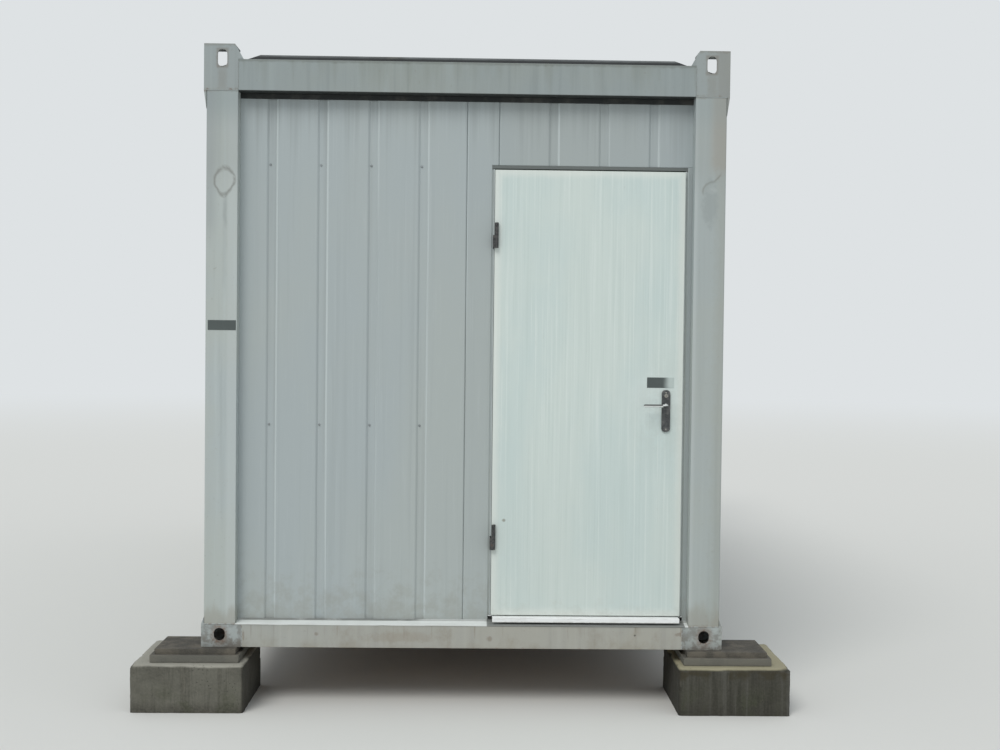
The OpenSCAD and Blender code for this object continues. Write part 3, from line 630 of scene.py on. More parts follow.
BEAD_W = 0.0062
BEAD_H = 0.0016
BEAD_STEP = 0.0045
BEAD_WOBBLE = 0.0006
SEAM_END = 0.004
HEAD_SEAM_H = 0.134
HEAD_LAP = 0.024
LAP_IN = 0.010
LAP_UP = 0.030
LAP_DOWN = 0.085
CASTING_IN_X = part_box("floor_rail_front")[1].x
CASTING_IN_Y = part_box("floor_rail_right")[1].y
POST_IN_Y = -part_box("post_front_left")[1].y


def weld_finish():
    coat, place = start_finish("weld_paint", 164, 170, 168)
    z = axes(place)[2]
    ragged = cloud(place, 80.0, 4.0)
    low = fall(z, WALL_Z - 0.01, WALL_Z + 0.08)
    high = smooth(z, HEAD_Z - 0.01, HEAD_Z)
    coat.add(high, 146, 153, 152)
    coat.add(smooth(ragged, 0.45, 0.65) * 0.35, 132, 130, 120)
    coat.add(smooth(ragged + low * 0.10, 0.56, 0.66) * low * 0.45, 118, 96, 76)
    return coat.done(0.6, ragged, 0.0004)


def weld(bm, start, end, outward):
    """Lays overlapping flat drops from start to end on a face that looks outward."""
    start, end, outward = Vector(start), Vector(end), Vector(outward)
    along = (end - start).normalized()
    third = outward.cross(along)
    turn = Matrix((along, third, outward)).transposed().to_4x4()
    count = max(2, int((end - start).length / BEAD_STEP))
    for i in range(count):
        at = start.lerp(end, (i + 0.5) / count)
        wobble = third * BEAD_WOBBLE * noise.noise(at * 90.0)
        swell = 1.0 + 0.18 * noise.noise(at * 130.0)
        size = Matrix.Diagonal((BEAD_STEP * 0.95, BEAD_W / 2 * swell, BEAD_H * swell, 1.0))
        bmesh.ops.create_icosphere(bm, subdivisions=1, radius=1.0,
                                   matrix=Matrix.Translation(at + wobble) @ turn @ size)


bm = bmesh.new()
upright = ((CASTING_IN_X, CASTING_IN_Y, BASE_Z + SEAM_END, WALL_Z - 2 * SEAM_END),
           (POST_IN_X, POST_IN_Y - HEAD_LAP, HEAD_Z + SEAM_END, HEAD_Z + HEAD_SEAM_H))
for sx, sy in CORNERS.values():
    face_y, out_x = sy * -FRONT_Y, sx * SIDE_X
    ahead, aside = (0, sy, 0), (sx, 0, 0)
    for z in (WALL_Z, HEAD_Z):
        weld(bm, (sx * POST_IN_X, face_y, z), (out_x, face_y, z), ahead)
    for x, y, z0, z1 in upright:
        weld(bm, (sx * x, face_y, z0), (sx * x, face_y, z1), ahead)
        weld(bm, (out_x, sy * y, z0), (out_x, sy * y, z1), aside)
    for z in (WALL_Z + LAP_UP, HEAD_Z - LAP_DOWN):
        weld(bm, (out_x, face_y - sy * LAP_IN, z), (out_x, sy * POST_IN_Y, z), aside)
finish_piece("weld_seams", bm, "cabin", "frame_paint", weld_finish(), sharp=60.0)

# Sandwich panels
# Two coated steel sheets on a rigid foam core, with trapezoid grooves rolled into the outer one.
# They stand in the floor rails, clasped by the posts, and are light grey outside and white inside.

GROOVE_BEND = 0.003
WALL_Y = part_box("front_wall_left")[0].y
WALL_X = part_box("right_wall")[1].x
LINTEL_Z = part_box("front_wall_lintel")[0].z
PANEL = (165, 174, 175)


def panel_finish(name, axis, face, painted_highlight=False):
    """Outer sheet of walls at a distance face along an axis. The side of a groove that faces the light can
    get a painted highlight.
    """
    coat, place = start_finish(name, *PANEL)
    x, y, z = axes(place)
    out = abs(y if axis else x)
    up, drop = z - WALL_Z, HEAD_Z - z
    broad = drawn(place, 1.1, 1.1, 0.5, 3.0)
    streaks = drawn(place, 34.0, 34.0, 0.55, 5.0)
    fine = drawn(place, 120.0, 120.0, 2.4, 3.0)
    ragged = cloud(place, 17.0, 6.0, 0.68)
    coat.add(smooth(broad, 0.40, 0.62) * 0.6, 169, 176, 172)
    coat.add(smooth(streaks, 0.50, 0.70) * 0.20, 144, 152, 152)
    coat.add(smooth(fine, 0.56, 0.72) * 0.16, 190, 197, 197)
    groove = smooth(face - out, 0.0015, 0.0070)
    coat.add(groove * smooth(streaks, 0.38, 0.62) * 0.12, 128, 132, 130)
    front = fall(y, FRONT_Y + 0.12, FRONT_Y + 0.14)
    over_door = smooth(z, LINTEL_Z - 0.005, LINTEL_Z)
    # Painted shade on the narrow panel between the door and the right post.
    beside_door = smooth(x, 1.0, 1.01) * (1 - over_door)
    coat.add(smooth(x, -0.002, 0.002) * front * 0.15, 150, 158, 159)
    coat.add(smooth(x, 0.148, 0.152) * over_door * front * 0.2, 142, 150, 152)
    coat.add(beside_door * front * 0.4, 132, 139, 138)
    # Painted light: a lighter strip on the wall beside the front posts, against their shade.
    painted_light_strip = fall(x + POST_IN_X, 0.012, 0.075)
    coat.add(painted_light_strip * front * 0.45, 192, 201, 202)
    dust = smooth(ragged - up * 1.1, 0.22, 0.60)
    coat.add(dust * 0.45, 146, 146, 137)
    splash = smooth(cloud(place, 120.0, 4.0, 0.7) - up * 0.35, 0.61, 0.70)
    coat.add(splash * 0.30, 126, 118, 102)
    top_dirt = smooth(streaks - drop * 1.1, 0.24, 0.62)
    coat.add(top_dirt * 0.35, 132, 138, 137)
    specks = smooth(cloud(place, 38.0, 6.0, 0.75), 0.70, 0.74)
    coat.add(specks * 0.35, 122, 122, 114)
    # Painted highlight on the side of each groove that faces the light.
    if painted_highlight:
        coat.add(smooth(streaks, 0.32, 0.60) * (0.9 - dust * 0.5), 190, 199, 199)
    waves = drawn(place, 3.2, 3.2, 1.1, 2.0)
    return coat.done(0.38 + streaks * 0.2 + dust * 0.2, waves * 0.8 + fine * 0.02, 0.0035)


def lining_finish():
    coat, place = start_finish("white_lining", 226, 227, 222)
    broad = cloud(place, 1.6, 3.0)
    scuffs = smooth(drawn(place, 3.0, 3.0, 22.0, 5.0, 0.7), 0.64, 0.70)
    coat.add(broad * 0.5, 214, 216, 212)
    coat.add(scuffs * 0.30, 160, 158, 150)
    return coat.done(0.45, cloud(place, 3.0, 2.0), 0.002)


def panel_piece(name, node, inward, paints):
    """A copy of a wall with rolled folds, a painted highlight on one side of each groove and a white inner
    lining.
    """
    bm = round_edges(cad_copy(node), GROOVE_BEND)
    inward = Vector(inward)
    along = Vector((abs(inward.y), abs(inward.x), 0))
    for face in bm.faces:
        painted_highlight = face.normal.dot(along) < -0.3 and face.normal.dot(inward) < -0.3
        face.material_index = 1 if face.normal.dot(inward) > 0.9 else 2 if painted_highlight else 0
    outer, side = paints
    finish_piece(name, bm, "cabin", "panel_paint", outer, white_lining, side, replaces=[node])


white_lining = lining_finish()
end_paints = [panel_finish("end_panel_paint", 1, -WALL_Y), panel_finish("end_painted_highlight", 1, -WALL_Y, True)]
side_paints = [panel_finish("side_panel_paint", 0, WALL_X), panel_finish("side_painted_highlight", 0, WALL_X, True)]
for name, node in (("front_left", "left"), ("front_infill", "infill"), ("over_door", "lintel"),
                   ("beside_door", "jamb")):
    panel_piece("panel_" + name, "front_wall_" + node, (0, 1, 0), end_paints)
panel_piece("panels_rear", "rear_wall", (0, -1, 0), end_paints)
panel_piece("panels_left", "left_wall", (1, 0, 0), side_paints)
panel_piece("panels_right", "right_wall", (-1, 0, 0), side_paints)

# Panel screws
# Self drilling screws with a sealing washer hold the panels to the frame through the floor of
# each groove, in two rows. Their zinc has dulled.

SCREW_ROWS = [1.318, 2.536]
WASHER_R = 0.0060
HEX_R = 0.0040
SCREW_ASIDE = 0.010
GROOVE_DEPTH = 0.008


def screw(bm, at, outward):
    """A washer and a hexagon head on a face that looks outward."""
    turn = Vector((0, 0, 1)).rotation_difference(Vector(outward)).to_matrix().to_4x4()
    for segments, low_r, high_r, depth, z in ((14, WASHER_R, WASHER_R * 0.8, 0.0014, 0.0006),
                                              (6, HEX_R, HEX_R * 0.92, 0.0042, 0.0030)):
        matrix = Matrix.Translation(at) @ turn @ Matrix.Translation((0, 0, z))
        bmesh.ops.create_cone(bm, cap_ends=True, segments=segments, radius1=low_r, radius2=high_r,
                              depth=depth, matrix=matrix)


def groove_places(node, axis, deep):
    """Middles of the grooves of a wall, from the points of its mesh that lie at the groove's depth."""
    other = 1 - axis
    found = sorted({round(v.co[other], 4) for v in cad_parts[node].data.vertices
                    if abs(abs(v.co[axis]) - deep) < 0.0004})
    return [(a + b) / 2 for a, b in zip(found[::2], found[1::2])]


screw_zinc = zinc_finish("screw_zinc", (166, 172, 174), (132, 137, 138))
bm = bmesh.new()
for node, axis, face in (("front_wall_left", 1, WALL_Y), ("rear_wall", 1, -WALL_Y),
                         ("left_wall", 0, -WALL_X), ("right_wall", 0, WALL_X)):
    way = 1 if face > 0 else -1
    outward = (0, way, 0) if axis else (way, 0, 0)
    for place in groove_places(node, axis, abs(face) - GROOVE_DEPTH):
        for z in SCREW_ROWS:
            deep = face - way * GROOVE_DEPTH
            at = (place - SCREW_ASIDE, deep, z) if axis else (deep, place - SCREW_ASIDE, z)
            screw(bm, Vector(at), outward)
finish_piece("panel_screws", bm, "cabin", "galvanised", screw_zinc, sharp=30.0)

# Seal under the roof rails
# A black foam strip closes the joint between each wall and the rail above it. It runs from post to post and
# shows as a very dark line, partly a real seal and partly a dark strip standing in for the shade under the
# rails.

SEAL_H = 0.025
SEAL_PROUD = 0.006
SEAL_SUNK = 0.004
SEAL_EDGE = 0.0025


def foam_finish():
    coat, place = start_finish("black_foam", 44, 47, 47)
    pores = cells(place, 900.0)
    dust = smooth(cloud(place, 14.0, 4.0), 0.45, 0.70)
    coat.add(dust * 0.5, 84, 84, 79)
    return coat.done(0.9, pores, 0.0005)


black_foam = foam_finish()
bm = bmesh.new()
for way in (-1, 1):
    near, far = sorted((way * (-WALL_Y - SEAL_SUNK), way * (-WALL_Y + SEAL_PROUD)))
    add_box(bm, (-POST_IN_X, near, HEAD_Z - SEAL_H), (POST_IN_X, far, HEAD_Z))
    near, far = sorted((way * (WALL_X - SEAL_SUNK), way * (WALL_X + SEAL_PROUD)))
    add_box(bm, (near, -POST_IN_Y, HEAD_Z - SEAL_H), (far, POST_IN_Y, HEAD_Z))
round_edges(bm, SEAL_EDGE)
finish_piece("rail_seals", bm, "cabin", "packing", black_foam)

# Drip flashing
# Coated sheet, nearly white, folded over the ledge of the floor rails so that rain runs off. It is riveted
# in lengths, and its upper fold is painted dark in patches, as soil and as painted shade in the crease.

FLASHING_BEND = 0.0012
SILL_LOW, SILL_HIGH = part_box("door_sill")


def flashing_finish():
    coat, place = start_finish("flashing_paint", 214, 218, 215)
    x, y, z = axes(place)
    patches = drawn(place, 6.0, 6.0, 6.0, 5.0)
    ragged = cloud(place, 20.0, 5.0)
    coat.add(smooth(patches, 0.42, 0.66) * 0.5, 196, 200, 196)
    # Dark line in the upper fold: patchy soil and painted shade in the crease.
    fold_soil_and_shade = smooth(z + (ragged - 0.5) * 0.0008, WALL_Z + 0.0080, WALL_Z + 0.0088)
    coat.add(fold_soil_and_shade * (0.45 + smooth(patches, 0.42, 0.58) * 0.45), 108, 112, 108)
    lip = fall(z + (patches - 0.5) * 0.004, WALL_Z - 0.003, WALL_Z + 0.0005)
    lip = lip * (0.3 + smooth(cloud(place, 7.0, 4.0), 0.44, 0.60) * 0.7)
    coat.add(lip * 0.8, 116, 115, 106)
    # Painted shadow of the sill on the ledge below it.
    painted_shadow_under_sill = between(x, SILL_LOW.x - 0.004, SILL_HIGH.x + 0.004, 0.003) * fall(y, 0.0, 1.0)
    coat.add(painted_shadow_under_sill * 0.8, 84, 86, 82)
    return coat.done(0.42 + patches * 0.15, patches, 0.0012)


copy_piece("ledge_flashing", "drip_flashing", FLASHING_BEND, "cabin", "flashing", flashing_finish())

# Ceiling
# White coated boards on the inner flange of the roof rails. Only the joints between the boards
# show, as narrow white cover strips.

COVER_W = 0.030
COVER_T = 0.004
COVER_END = 0.020
COVER_EDGE = 0.0015
BOARDS = 5

dress("ceiling_board", white_lining)
ceiling_low, ceiling_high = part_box("ceiling_board")
bm = bmesh.new()
for i in range(1, BOARDS):
    y = ceiling_low.y + (ceiling_high.y - ceiling_low.y) * i / BOARDS
    add_box(bm, (ceiling_low.x + COVER_END, y - COVER_W / 2, ceiling_low.z - COVER_T),
            (ceiling_high.x - COVER_END, y + COVER_W / 2, ceiling_low.z))
round_edges(bm, COVER_EDGE)
finish_piece("ceiling_strips", bm, "cabin", "ceiling_board", white_lining)

# Roof
# Galvanised sheet with folded standing seams, dull and streaked dark by rain and leaves. Its sloping
# borders end behind the roof rails, which form the gutter, and are painted nearly black there, as gutter
# dirt and as painted shade.

ROOF_RISE = 0.037
ROOF_BEND = 0.0018


def roof_finish():
    coat, place = start_finish("roof_steel", 84, 88, 89)
    z = axes(place)[2]
    patches = cloud(place, 2.2, 6.0, 0.62)
    ponds = drawn(place, 1.3, 3.0, 1.0, 5.0, 0.6, 0.6)
    fine = cloud(place, 44.0, 5.0, 0.7)
    coat.add(smooth(patches, 0.36, 0.64), 112, 116, 116)
    coat.add(smooth(ponds, 0.50, 0.60) * 0.6, 62, 61, 54)
    coat.add(between(ponds, 0.60, 0.64, 0.02) * 0.4, 134, 132, 120)
    coat.add(smooth(fine, 0.62, 0.72) * 0.6, 72, 76, 48)
    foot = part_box("roof_sheet")[0].z
    # The borders are painted near black: dirt in the gutter and painted shade.
    border = fall(z + fine * 0.010, foot + ROOF_RISE * 0.6, foot + ROOF_RISE + 0.004)
    coat.add(border * 0.95, 20, 24, 24)
    rough = 0.50 + patches * 0.25 + border * 0.2
    return coat.done(rough, patches + fine * 0.3, 0.0020, metallic=0.25 - border * 0.25)


roof_steel = roof_finish()
for node in ("roof_sheet", "roof_end_front", "roof_end_rear"):
    copy_piece("steel_" + node, node, ROOF_BEND, "cabin", "roof_steel", roof_steel, limit=20.0)

# Door frame
# Folded steel sheet round the opening, with a stop behind the leaf, screwed to the posts and panels. Its
# jambs are painted like the panels, and its head is painted dark as shade above the leaf.

FRAME_BEND = 0.0011
LEAF_LOW, LEAF_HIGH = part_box("door_leaf")


def frame_paint_finish():
    coat, place = start_finish("door_frame_paint", 158, 166, 166)
    rough, height = weathered(coat, place, 23.0)
    z = axes(place)[2]
    soil = smooth(cloud(place, 22.0, 5.0) - (z - LEAF_LOW.z) * 1.5, 0.2, 0.6)
    coat.add(soil * 0.3, *SOIL)
    # Painted shade: the head of the frame is painted dark above the leaf.
    head = smooth(z, LEAF_HIGH.z + 0.001, LEAF_HIGH.z + 0.004)
    coat.add(head * 0.93, 94, 99, 97)
    return coat.done(rough, height, 0.0006)


copy_piece("folded_door_frame", "door_frame", FRAME_BEND, "cabin", "door_frame_paint",
           frame_paint_finish())

# Sill
# White coated threshold of folded sheet. Boots have worn and scratched its tread, and soil lies
# in its corners.

SILL_BEND = 0.0014


def sill_finish():
    coat, place = start_finish("sill_white", 233, 235, 234)
    z = axes(place)[2]
    scratches = smooth(drawn(place, 7.0, 120.0, 60.0, 4.0, 0.7), 0.58, 0.66)
    worn_mask = smooth(cloud(place, 9.0, 5.0), 0.48, 0.66)
    coat.add(scratches * 0.22, 176, 176, 170)
    coat.add(worn_mask * 0.22, 200, 200, 193)
    ragged = (cloud(place, 60.0, 4.0) - 0.5) * 0.010
    low = fall(z + ragged, SILL_HIGH.z - 0.021, SILL_HIGH.z - 0.016)
    coat.add(low * 0.5, 128, 124, 112)
    return coat.done(0.38 + worn_mask * 0.2, scratches + worn_mask, 0.0005)


copy_piece("folded_sill", "door_sill", SILL_BEND, "cabin", "sill_white", sill_finish())

# Door seals
# Rubber profiles pushed onto the frame: black ones on the stop, which the closed leaf presses
# against, and grey lips that close the gaps beside the leaf. The left lip stops at the hinges.

GASKET_W = 0.012
GASKET_T = 0.0042
GASKET_IN = 0.010
GASKET_EDGE = 0.0015
STOP_BEHIND = 0.006
SEAL_PLAY = 0.002
LEAF_GAP = 0.008
LIP_FRONT = 0.003
LIP_DEEP = 0.012
LIP_PLAY = (0.0014, 0.0022)
LIP_EDGE = 0.0012
STRAP_FEET = (0.311, 1.729)
STRAP_H = 0.059
STRAP_PLAY = 0.001


def gasket_finish():
    coat, place = start_finish("black_gasket", 24, 25, 26)
    patches = cloud(place, 30.0, 3.0)
    coat.add(patches * 0.6, 46, 46, 45)
    return coat.done(0.6, patches, 0.0005)


def lip_finish():
    coat, place = start_finish("grey_lips", 176, 183, 183)
    dirt = drawn(place, 30.0, 30.0, 4.0, 4.0)
    # The right lip is painted lighter: painted light against the shade beside the leaf.
    coat.add(smooth(axes(place)[0], 0.4, 0.8), 204, 209, 208)
    coat.add(smooth(dirt, 0.48, 0.68) * 0.3, 140, 145, 141)
    return coat.done(0.7, dirt, 0.0004)


black_gasket = gasket_finish()
stop_y = LEAF_HIGH.y + STOP_BEHIND
foot_z = SILL_HIGH.z + SEAL_PLAY
left_x = LEAF_LOW.x + GASKET_IN
right_x = LEAF_HIGH.x - GASKET_IN - GASKET_W
head_z = LEAF_HIGH.z - GASKET_IN - GASKET_W
bm = bmesh.new()
for x in (left_x, right_x):
    add_box(bm, (x, stop_y - GASKET_T, foot_z), (x + GASKET_W, stop_y, head_z + GASKET_W))
add_box(bm, (left_x + GASKET_W, stop_y - GASKET_T, head_z), (right_x, stop_y, head_z + GASKET_W))
round_edges(bm, GASKET_EDGE)
finish_piece("door_gasket", bm, "cabin", "packing", black_gasket)

near_y, far_y = WALL_Y + LIP_FRONT, WALL_Y + LIP_FRONT + LIP_DEEP
lip_top = LEAF_HIGH.z + LEAF_GAP - SEAL_PLAY
stops = [foot_z]
for foot in STRAP_FEET:
    stops += [LEAF_LOW.z + foot - STRAP_PLAY, LEAF_LOW.z + foot + STRAP_H + STRAP_PLAY]
stops.append(lip_top)
bm = bmesh.new()
for low_z, high_z in zip(stops[::2], stops[1::2]):
    add_box(bm, (LEAF_LOW.x - LEAF_GAP, near_y, low_z), (LEAF_LOW.x - LIP_PLAY[0], far_y, high_z))
add_box(bm, (LEAF_HIGH.x + LIP_PLAY[1], near_y, foot_z), (LEAF_HIGH.x + LEAF_GAP, far_y, lip_top))
round_edges(bm, LIP_EDGE)
finish_piece("edge_lips", bm, "cabin", "door_frame_paint", lip_finish())

# Door leaf
# Two folded steel sheets on a core, painted pale green by brush and roller over an older coat.
# It is scuffed round the handle and along the foot, and rubbed lighter along its edges.

LEAF_FOLD = 0.0018
LEAF_CHIP = (0.188, 0.877, 0.012, 0.010)
GRIP_IN, GRIP_Z = 0.10, 1.40
WIPED_X, WIPED_Z = 0.900, 1.470


def door_finish():
    coat, place = start_finish("door_paint", 195, 209, 206)
    x, _, z = axes(place)
    up = z - LEAF_LOW.z
    brush = drawn(place, 95.0, 40.0, 1.3, 5.0)
    broad = drawn(place, 2.6, 2.6, 1.2, 4.0)
    ragged = cloud(place, 24.0, 6.0, 0.7)
    coat.add(smooth(broad, 0.36, 0.64), 202, 213, 208)
    coat.add(smooth(brush, 0.50, 0.68) * 0.30, 183, 197, 192)
    coat.add(fall(brush, 0.32, 0.47) * 0.45, 216, 225, 221)
    side = (x - LEAF_LOW.x).least(LEAF_HIGH.x - x)
    ends = (z - LEAF_LOW.z).least(LEAF_HIGH.z - z)
    edge = fall(side.least(ends) + (ragged - 0.5) * 0.02, 0.006, 0.046)
    coat.add(edge * 0.55, 222, 225, 218)
    scuffs = smooth(drawn(place, 40.0, 20.0, 9.0, 6.0, 0.75), 0.66, 0.72)
    coat.add(scuffs * 0.25, 170, 174, 166)
    foot = smooth(ragged - up * 3.0, 0.30, 0.62)
    coat.add(foot * 0.25, 176, 176, 164)
    coat.add(fall(up, 0.2, 1.2) * 0.18, 180, 189, 184)
    from_hand = distance(x - LEAF_HIGH.x + GRIP_IN, (z - GRIP_Z) * 0.5)
    wiped = fall(distance(x - WIPED_X, z - WIPED_Z) + ragged * 0.06, 0.07, 0.20)
    coat.add(wiped * 0.4, 213, 222, 219)
    hand = fall(from_hand + ragged * 0.1, 0.10, 0.24) * smooth(ragged, 0.36, 0.60)
    coat.add(hand * 0.15, 172, 174, 166)
    chip = distance((x - LEAF_CHIP[0]) * (1 / LEAF_CHIP[2]), (z - LEAF_CHIP[1]) * (1 / LEAF_CHIP[3]))
    coat.add(fall(chip + (ragged - 0.5) * 1.2, 0.4, 1.0) * 0.7, 126, 122, 106)
    height = brush * 0.6 + broad * 1.4 + ragged * 0.15
    return coat.done(0.36 + brush * 0.22 + foot * 0.15, height, 0.0014)


copy_piece("painted_leaf", "door_leaf", LEAF_FOLD, "door", "door_paint", door_finish())

# Plain strips
# A thin dark plastic strip is glued to the leaf beside the handle, and one like it to the left
# front post. They carry nothing.

STRIP_T = 0.0012
STRIP_EDGE = 0.0005
LEAF_STRIP_X = (0.857, 0.984)
LEAF_STRIP_Z = (1.509, 1.558)
POST_STRIP_Z = (1.758, 1.804)
POST_STRIP_IN = (0.012, 0.004)


def strip_finish():
    coat, place = start_finish("dark_strip", 66, 74, 73)
    patches = cloud(place, 14.0, 3.0)
    coat.add(patches, 82, 90, 88)
    worn_end = axes(place)[0] + (patches - 0.5) * 0.02
    faded = smooth(worn_end, LEAF_STRIP_X[1] - 0.056, LEAF_STRIP_X[1] - 0.012)
    coat.add(faded * 0.9, 188, 200, 196)
    return coat.done(0.4 + patches * 0.3, patches, 0.0004)


dark_strip = strip_finish()
bm = bmesh.new()
add_box(bm, (LEAF_STRIP_X[0], LEAF_LOW.y - STRIP_T, LEAF_STRIP_Z[0]),
        (LEAF_STRIP_X[1], LEAF_LOW.y, LEAF_STRIP_Z[1]))
round_edges(bm, STRIP_EDGE)
finish_piece("leaf_strip", bm, "door", "packing", dark_strip)
bm = bmesh.new()
add_box(bm, (-SIDE_X + POST_STRIP_IN[0], FRONT_Y - STRIP_T, POST_STRIP_Z[0]),
        (-POST_IN_X - POST_STRIP_IN[1], FRONT_Y, POST_STRIP_Z[1]))
round_edges(bm, STRIP_EDGE)
finish_piece("post_strip", bm, "cabin", "packing", dark_strip)

# Hinges
# Two turned steel knuckles a hinge, the lower one with the pin, on a strap folded into the frame.
# They are dark with old grease, and rust shows where the leaf lifts them apart.

HINGE_EDGE = 0.0009


def hinge_finish():
    coat, place = start_finish("hinge_steel", 54, 55, 56)
    ragged = cloud(place, 70.0, 5.0, 0.7)
    turned = drawn(place, 20.0, 20.0, 700.0, 2.0)
    coat.add(smooth(ragged, 0.38, 0.62), 92, 92, 90)
    coat.add(smooth(ragged, 0.58, 0.68) * 0.7, 98, 66, 44)
    return coat.done(0.42 + ragged * 0.25, turned * 0.4 + ragged, 0.0005, metallic=0.55)


hinge_steel = hinge_finish()
copy_piece("hinge_lower_halves", "hinge_pins", HINGE_EDGE, "cabin", "hinge_steel", hinge_steel)
copy_piece("hinge_upper_halves", "hinge_knuckles", HINGE_EDGE, "door", "hinge_steel", hinge_steel)

# Handle and lock
# Cast plates with nearly round ends on both faces of the leaf, dark grey, held by two screws, with a bent
# lever of bright metal, painted dark on top as a reflection, and a round nickel lock cylinder above it.

PLATE_EDGE = 0.0022
LEVER_EDGE = 0.0010
CYLINDER_EDGE = 0.0006
SCREW_IN = 0.012
PLATE_SCREW_R = 0.0038
PLATE_SCREW_H = 0.0012
PLATE_SCREW_EDGE = 0.0003
KEYHOLE = (0.0008, 0.0045)
LEVER_LOW, LEVER_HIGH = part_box("lever_handle")
PLATE_LOW, PLATE_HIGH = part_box("handle_plates")
CYLINDER_LOW, CYLINDER_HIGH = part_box("lock_cylinder")


def cast_handle_finish():
    coat, place = start_finish("handle_metal", 66, 68, 69)
    ragged = cloud(place, 120.0, 4.0)
    worn_mask = smooth(cloud(place, 34.0, 5.0), 0.52, 0.66)
    coat.add(smooth(ragged, 0.4, 0.6), 82, 84, 84)
    coat.add(worn_mask * 0.5, 122, 122, 120)
    return coat.done(0.36 + worn_mask * 0.2, ragged, 0.0003, metallic=0.35)


def lever_finish():
    coat, place = start_finish("lever_metal", 216, 219, 217)
    ragged = cloud(place, 90.0, 4.0)
    x, _, z = axes(place)
    middle_z = (LEVER_LOW.z + LEVER_HIGH.z) / 2
    # Painted reflection: the grip is dark above and bright below, the neck the other way round.
    upper = smooth(z - middle_z + (ragged - 0.5) * 0.002, -0.0010, 0.0020)
    neck = smooth(x, PLATE_LOW.x - 0.004, PLATE_LOW.x + 0.004)
    painted_reflection_dark = upper + neck - upper * neck * 2
    coat.add(smooth(ragged, 0.4, 0.6), 230, 233, 231)
    coat.add(painted_reflection_dark * 0.95, 58, 60, 58)
    return coat.done(0.34 + painted_reflection_dark * 0.3, ragged, 0.0002, metallic=0.3)


def nickel_finish():
    coat, place = start_finish("lock_nickel", 150, 148, 140)
    turned = cloud(place, 300.0, 3.0)
    coat.add(smooth(turned, 0.35, 0.65), 178, 176, 168)
    return coat.done(0.34, turned, 0.0002, metallic=0.85)


lock_nickel = nickel_finish()
copy_piece("cast_plates", "handle_plates", PLATE_EDGE, "door", "handle_metal", cast_handle_finish())
copy_piece("bent_lever", "lever_handle", LEVER_EDGE, "lever", "handle_metal", lever_finish())
copy_piece("cylinder_heads", "lock_cylinder", CYLINDER_EDGE, "door", "lock_metal", lock_nickel)

plate_x = (PLATE_LOW.x + PLATE_HIGH.x) / 2
cylinder_z = (CYLINDER_LOW.z + CYLINDER_HIGH.z) / 2
bm = bmesh.new()
turn = Matrix.Rotation(math.radians(90), 4, "X")
for z in (PLATE_LOW.z + SCREW_IN, PLATE_HIGH.z - SCREW_IN):
    for y in (PLATE_LOW.y - PLATE_SCREW_H / 3, PLATE_HIGH.y + PLATE_SCREW_H / 3):
        bmesh.ops.create_cone(bm, cap_ends=True, segments=20, radius1=PLATE_SCREW_R, radius2=PLATE_SCREW_R,
                              depth=PLATE_SCREW_H, matrix=Matrix.Translation((plate_x, y, z)) @ turn)
round_edges(bm, PLATE_SCREW_EDGE)
finish_piece("plate_screws", bm, "door", "lock_metal", lock_nickel, sharp=30.0)
bm = bmesh.new()
half_w, half_h = KEYHOLE
for y, way in ((CYLINDER_LOW.y, -1), (CYLINDER_HIGH.y, 1)):
    near, far = sorted((y + way * 0.0003, y - way * 0.0006))
    add_box(bm, (plate_x - half_w, near, cylinder_z - half_h), (plate_x + half_w, far, cylinder_z + half_h))
finish_piece("keyholes", bm, "door", "packing", black_gasket)

# Studio
# A plain pale floor under an even pale sky, with one broad soft light from the front left. The
# camera stands where the photo was taken, with a longer lens.

CAMERA_AT = (0.040, -9.1509, 1.7190)
CAMERA_YAW = 1.150
CAMERA_PITCH = 1.458
CAMERA_ROLL = -0.639
CAMERA_LENS = 47.3
SKY = seen(222, 226, 228)
FLOOR_R = 90.0
FADE_R = (9.0, 34.0)
SUN_WAY = (0.34, 0.70, -0.88)
SUN_STRENGTH = 1.4
SUN_SPREAD = 28
SKY_STRENGTH = 0.77

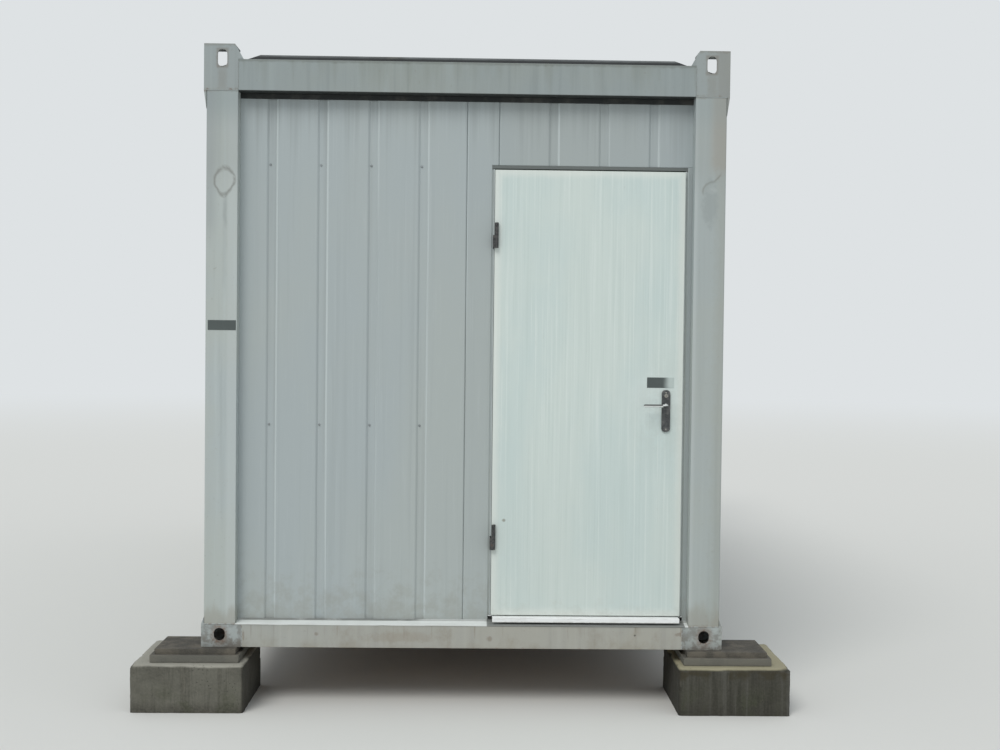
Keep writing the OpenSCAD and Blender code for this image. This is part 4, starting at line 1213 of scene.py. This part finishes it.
camera = placed("camera", bpy.data.cameras.new("camera"))
camera.data.lens = CAMERA_LENS
camera.data.sensor_width = 36.0
look = (Matrix.Rotation(math.radians(-CAMERA_YAW), 4, "Z")
        @ Matrix.Rotation(math.radians(90 - CAMERA_PITCH), 4, "X")
        @ Matrix.Rotation(math.radians(-CAMERA_ROLL), 4, "Z"))
camera.matrix_world = Matrix.Translation(CAMERA_AT) @ look
camera.data.clip_end = 300.0
bpy.context.scene.camera = camera


def floor_finish():
    """Pale floor that fades into the sky towards its rim."""
    coat, place = start_finish("studio_floor", 214, 214, 210)
    x, y, _ = axes(place)
    camera_ray = place.node("LightPath", out="Is Camera Ray")
    diffuse = place.node("BsdfDiffuse", {}, {"Color": coat.colour})
    glow = place.node("Emission", {}, {"Color": SKY, "Strength": 1.0})
    fade = smooth(distance(x, y), *FADE_R) * camera_ray
    surface = place.node("MixShader", {}, {0: fade, 1: diffuse, 2: glow})
    place.node("OutputMaterial", {}, {"Surface": surface})
    return coat.material


bm = bmesh.new()
bmesh.ops.create_circle(bm, cap_ends=True, segments=96, radius=FLOOR_R)
mesh = bpy.data.meshes.new("studio_floor")
bm.to_mesh(mesh)
bm.free()
mesh.materials.append(floor_finish())
studio_floor = placed("studio_floor", mesh)

world = bpy.data.worlds.new("sky")
world.use_nodes = True
world.node_tree.nodes.clear()
sky = Wire(world.node_tree)
camera_ray = sky.node("LightPath", out="Is Camera Ray")
dome = sky.node("Background", {}, {"Color": seen(238, 243, 248), "Strength": SKY_STRENGTH})
backdrop = sky.node("Background", {}, {"Color": SKY, "Strength": 1.0})
sky.node("OutputWorld", {}, {"Surface": sky.node("MixShader", {}, {0: camera_ray, 1: dome, 2: backdrop})})
bpy.context.scene.world = world

key = placed("key_light", bpy.data.lights.new("key_light", "SUN"))
key.data.energy = SUN_STRENGTH
key.data.angle = math.radians(SUN_SPREAD)
key.data.color = (1.0, 0.985, 0.96)
key.rotation_mode = "QUATERNION"
key.rotation_quaternion = Vector(SUN_WAY).to_track_quat("-Z", "Y")

bpy.context.scene.view_settings.view_transform = "Standard"
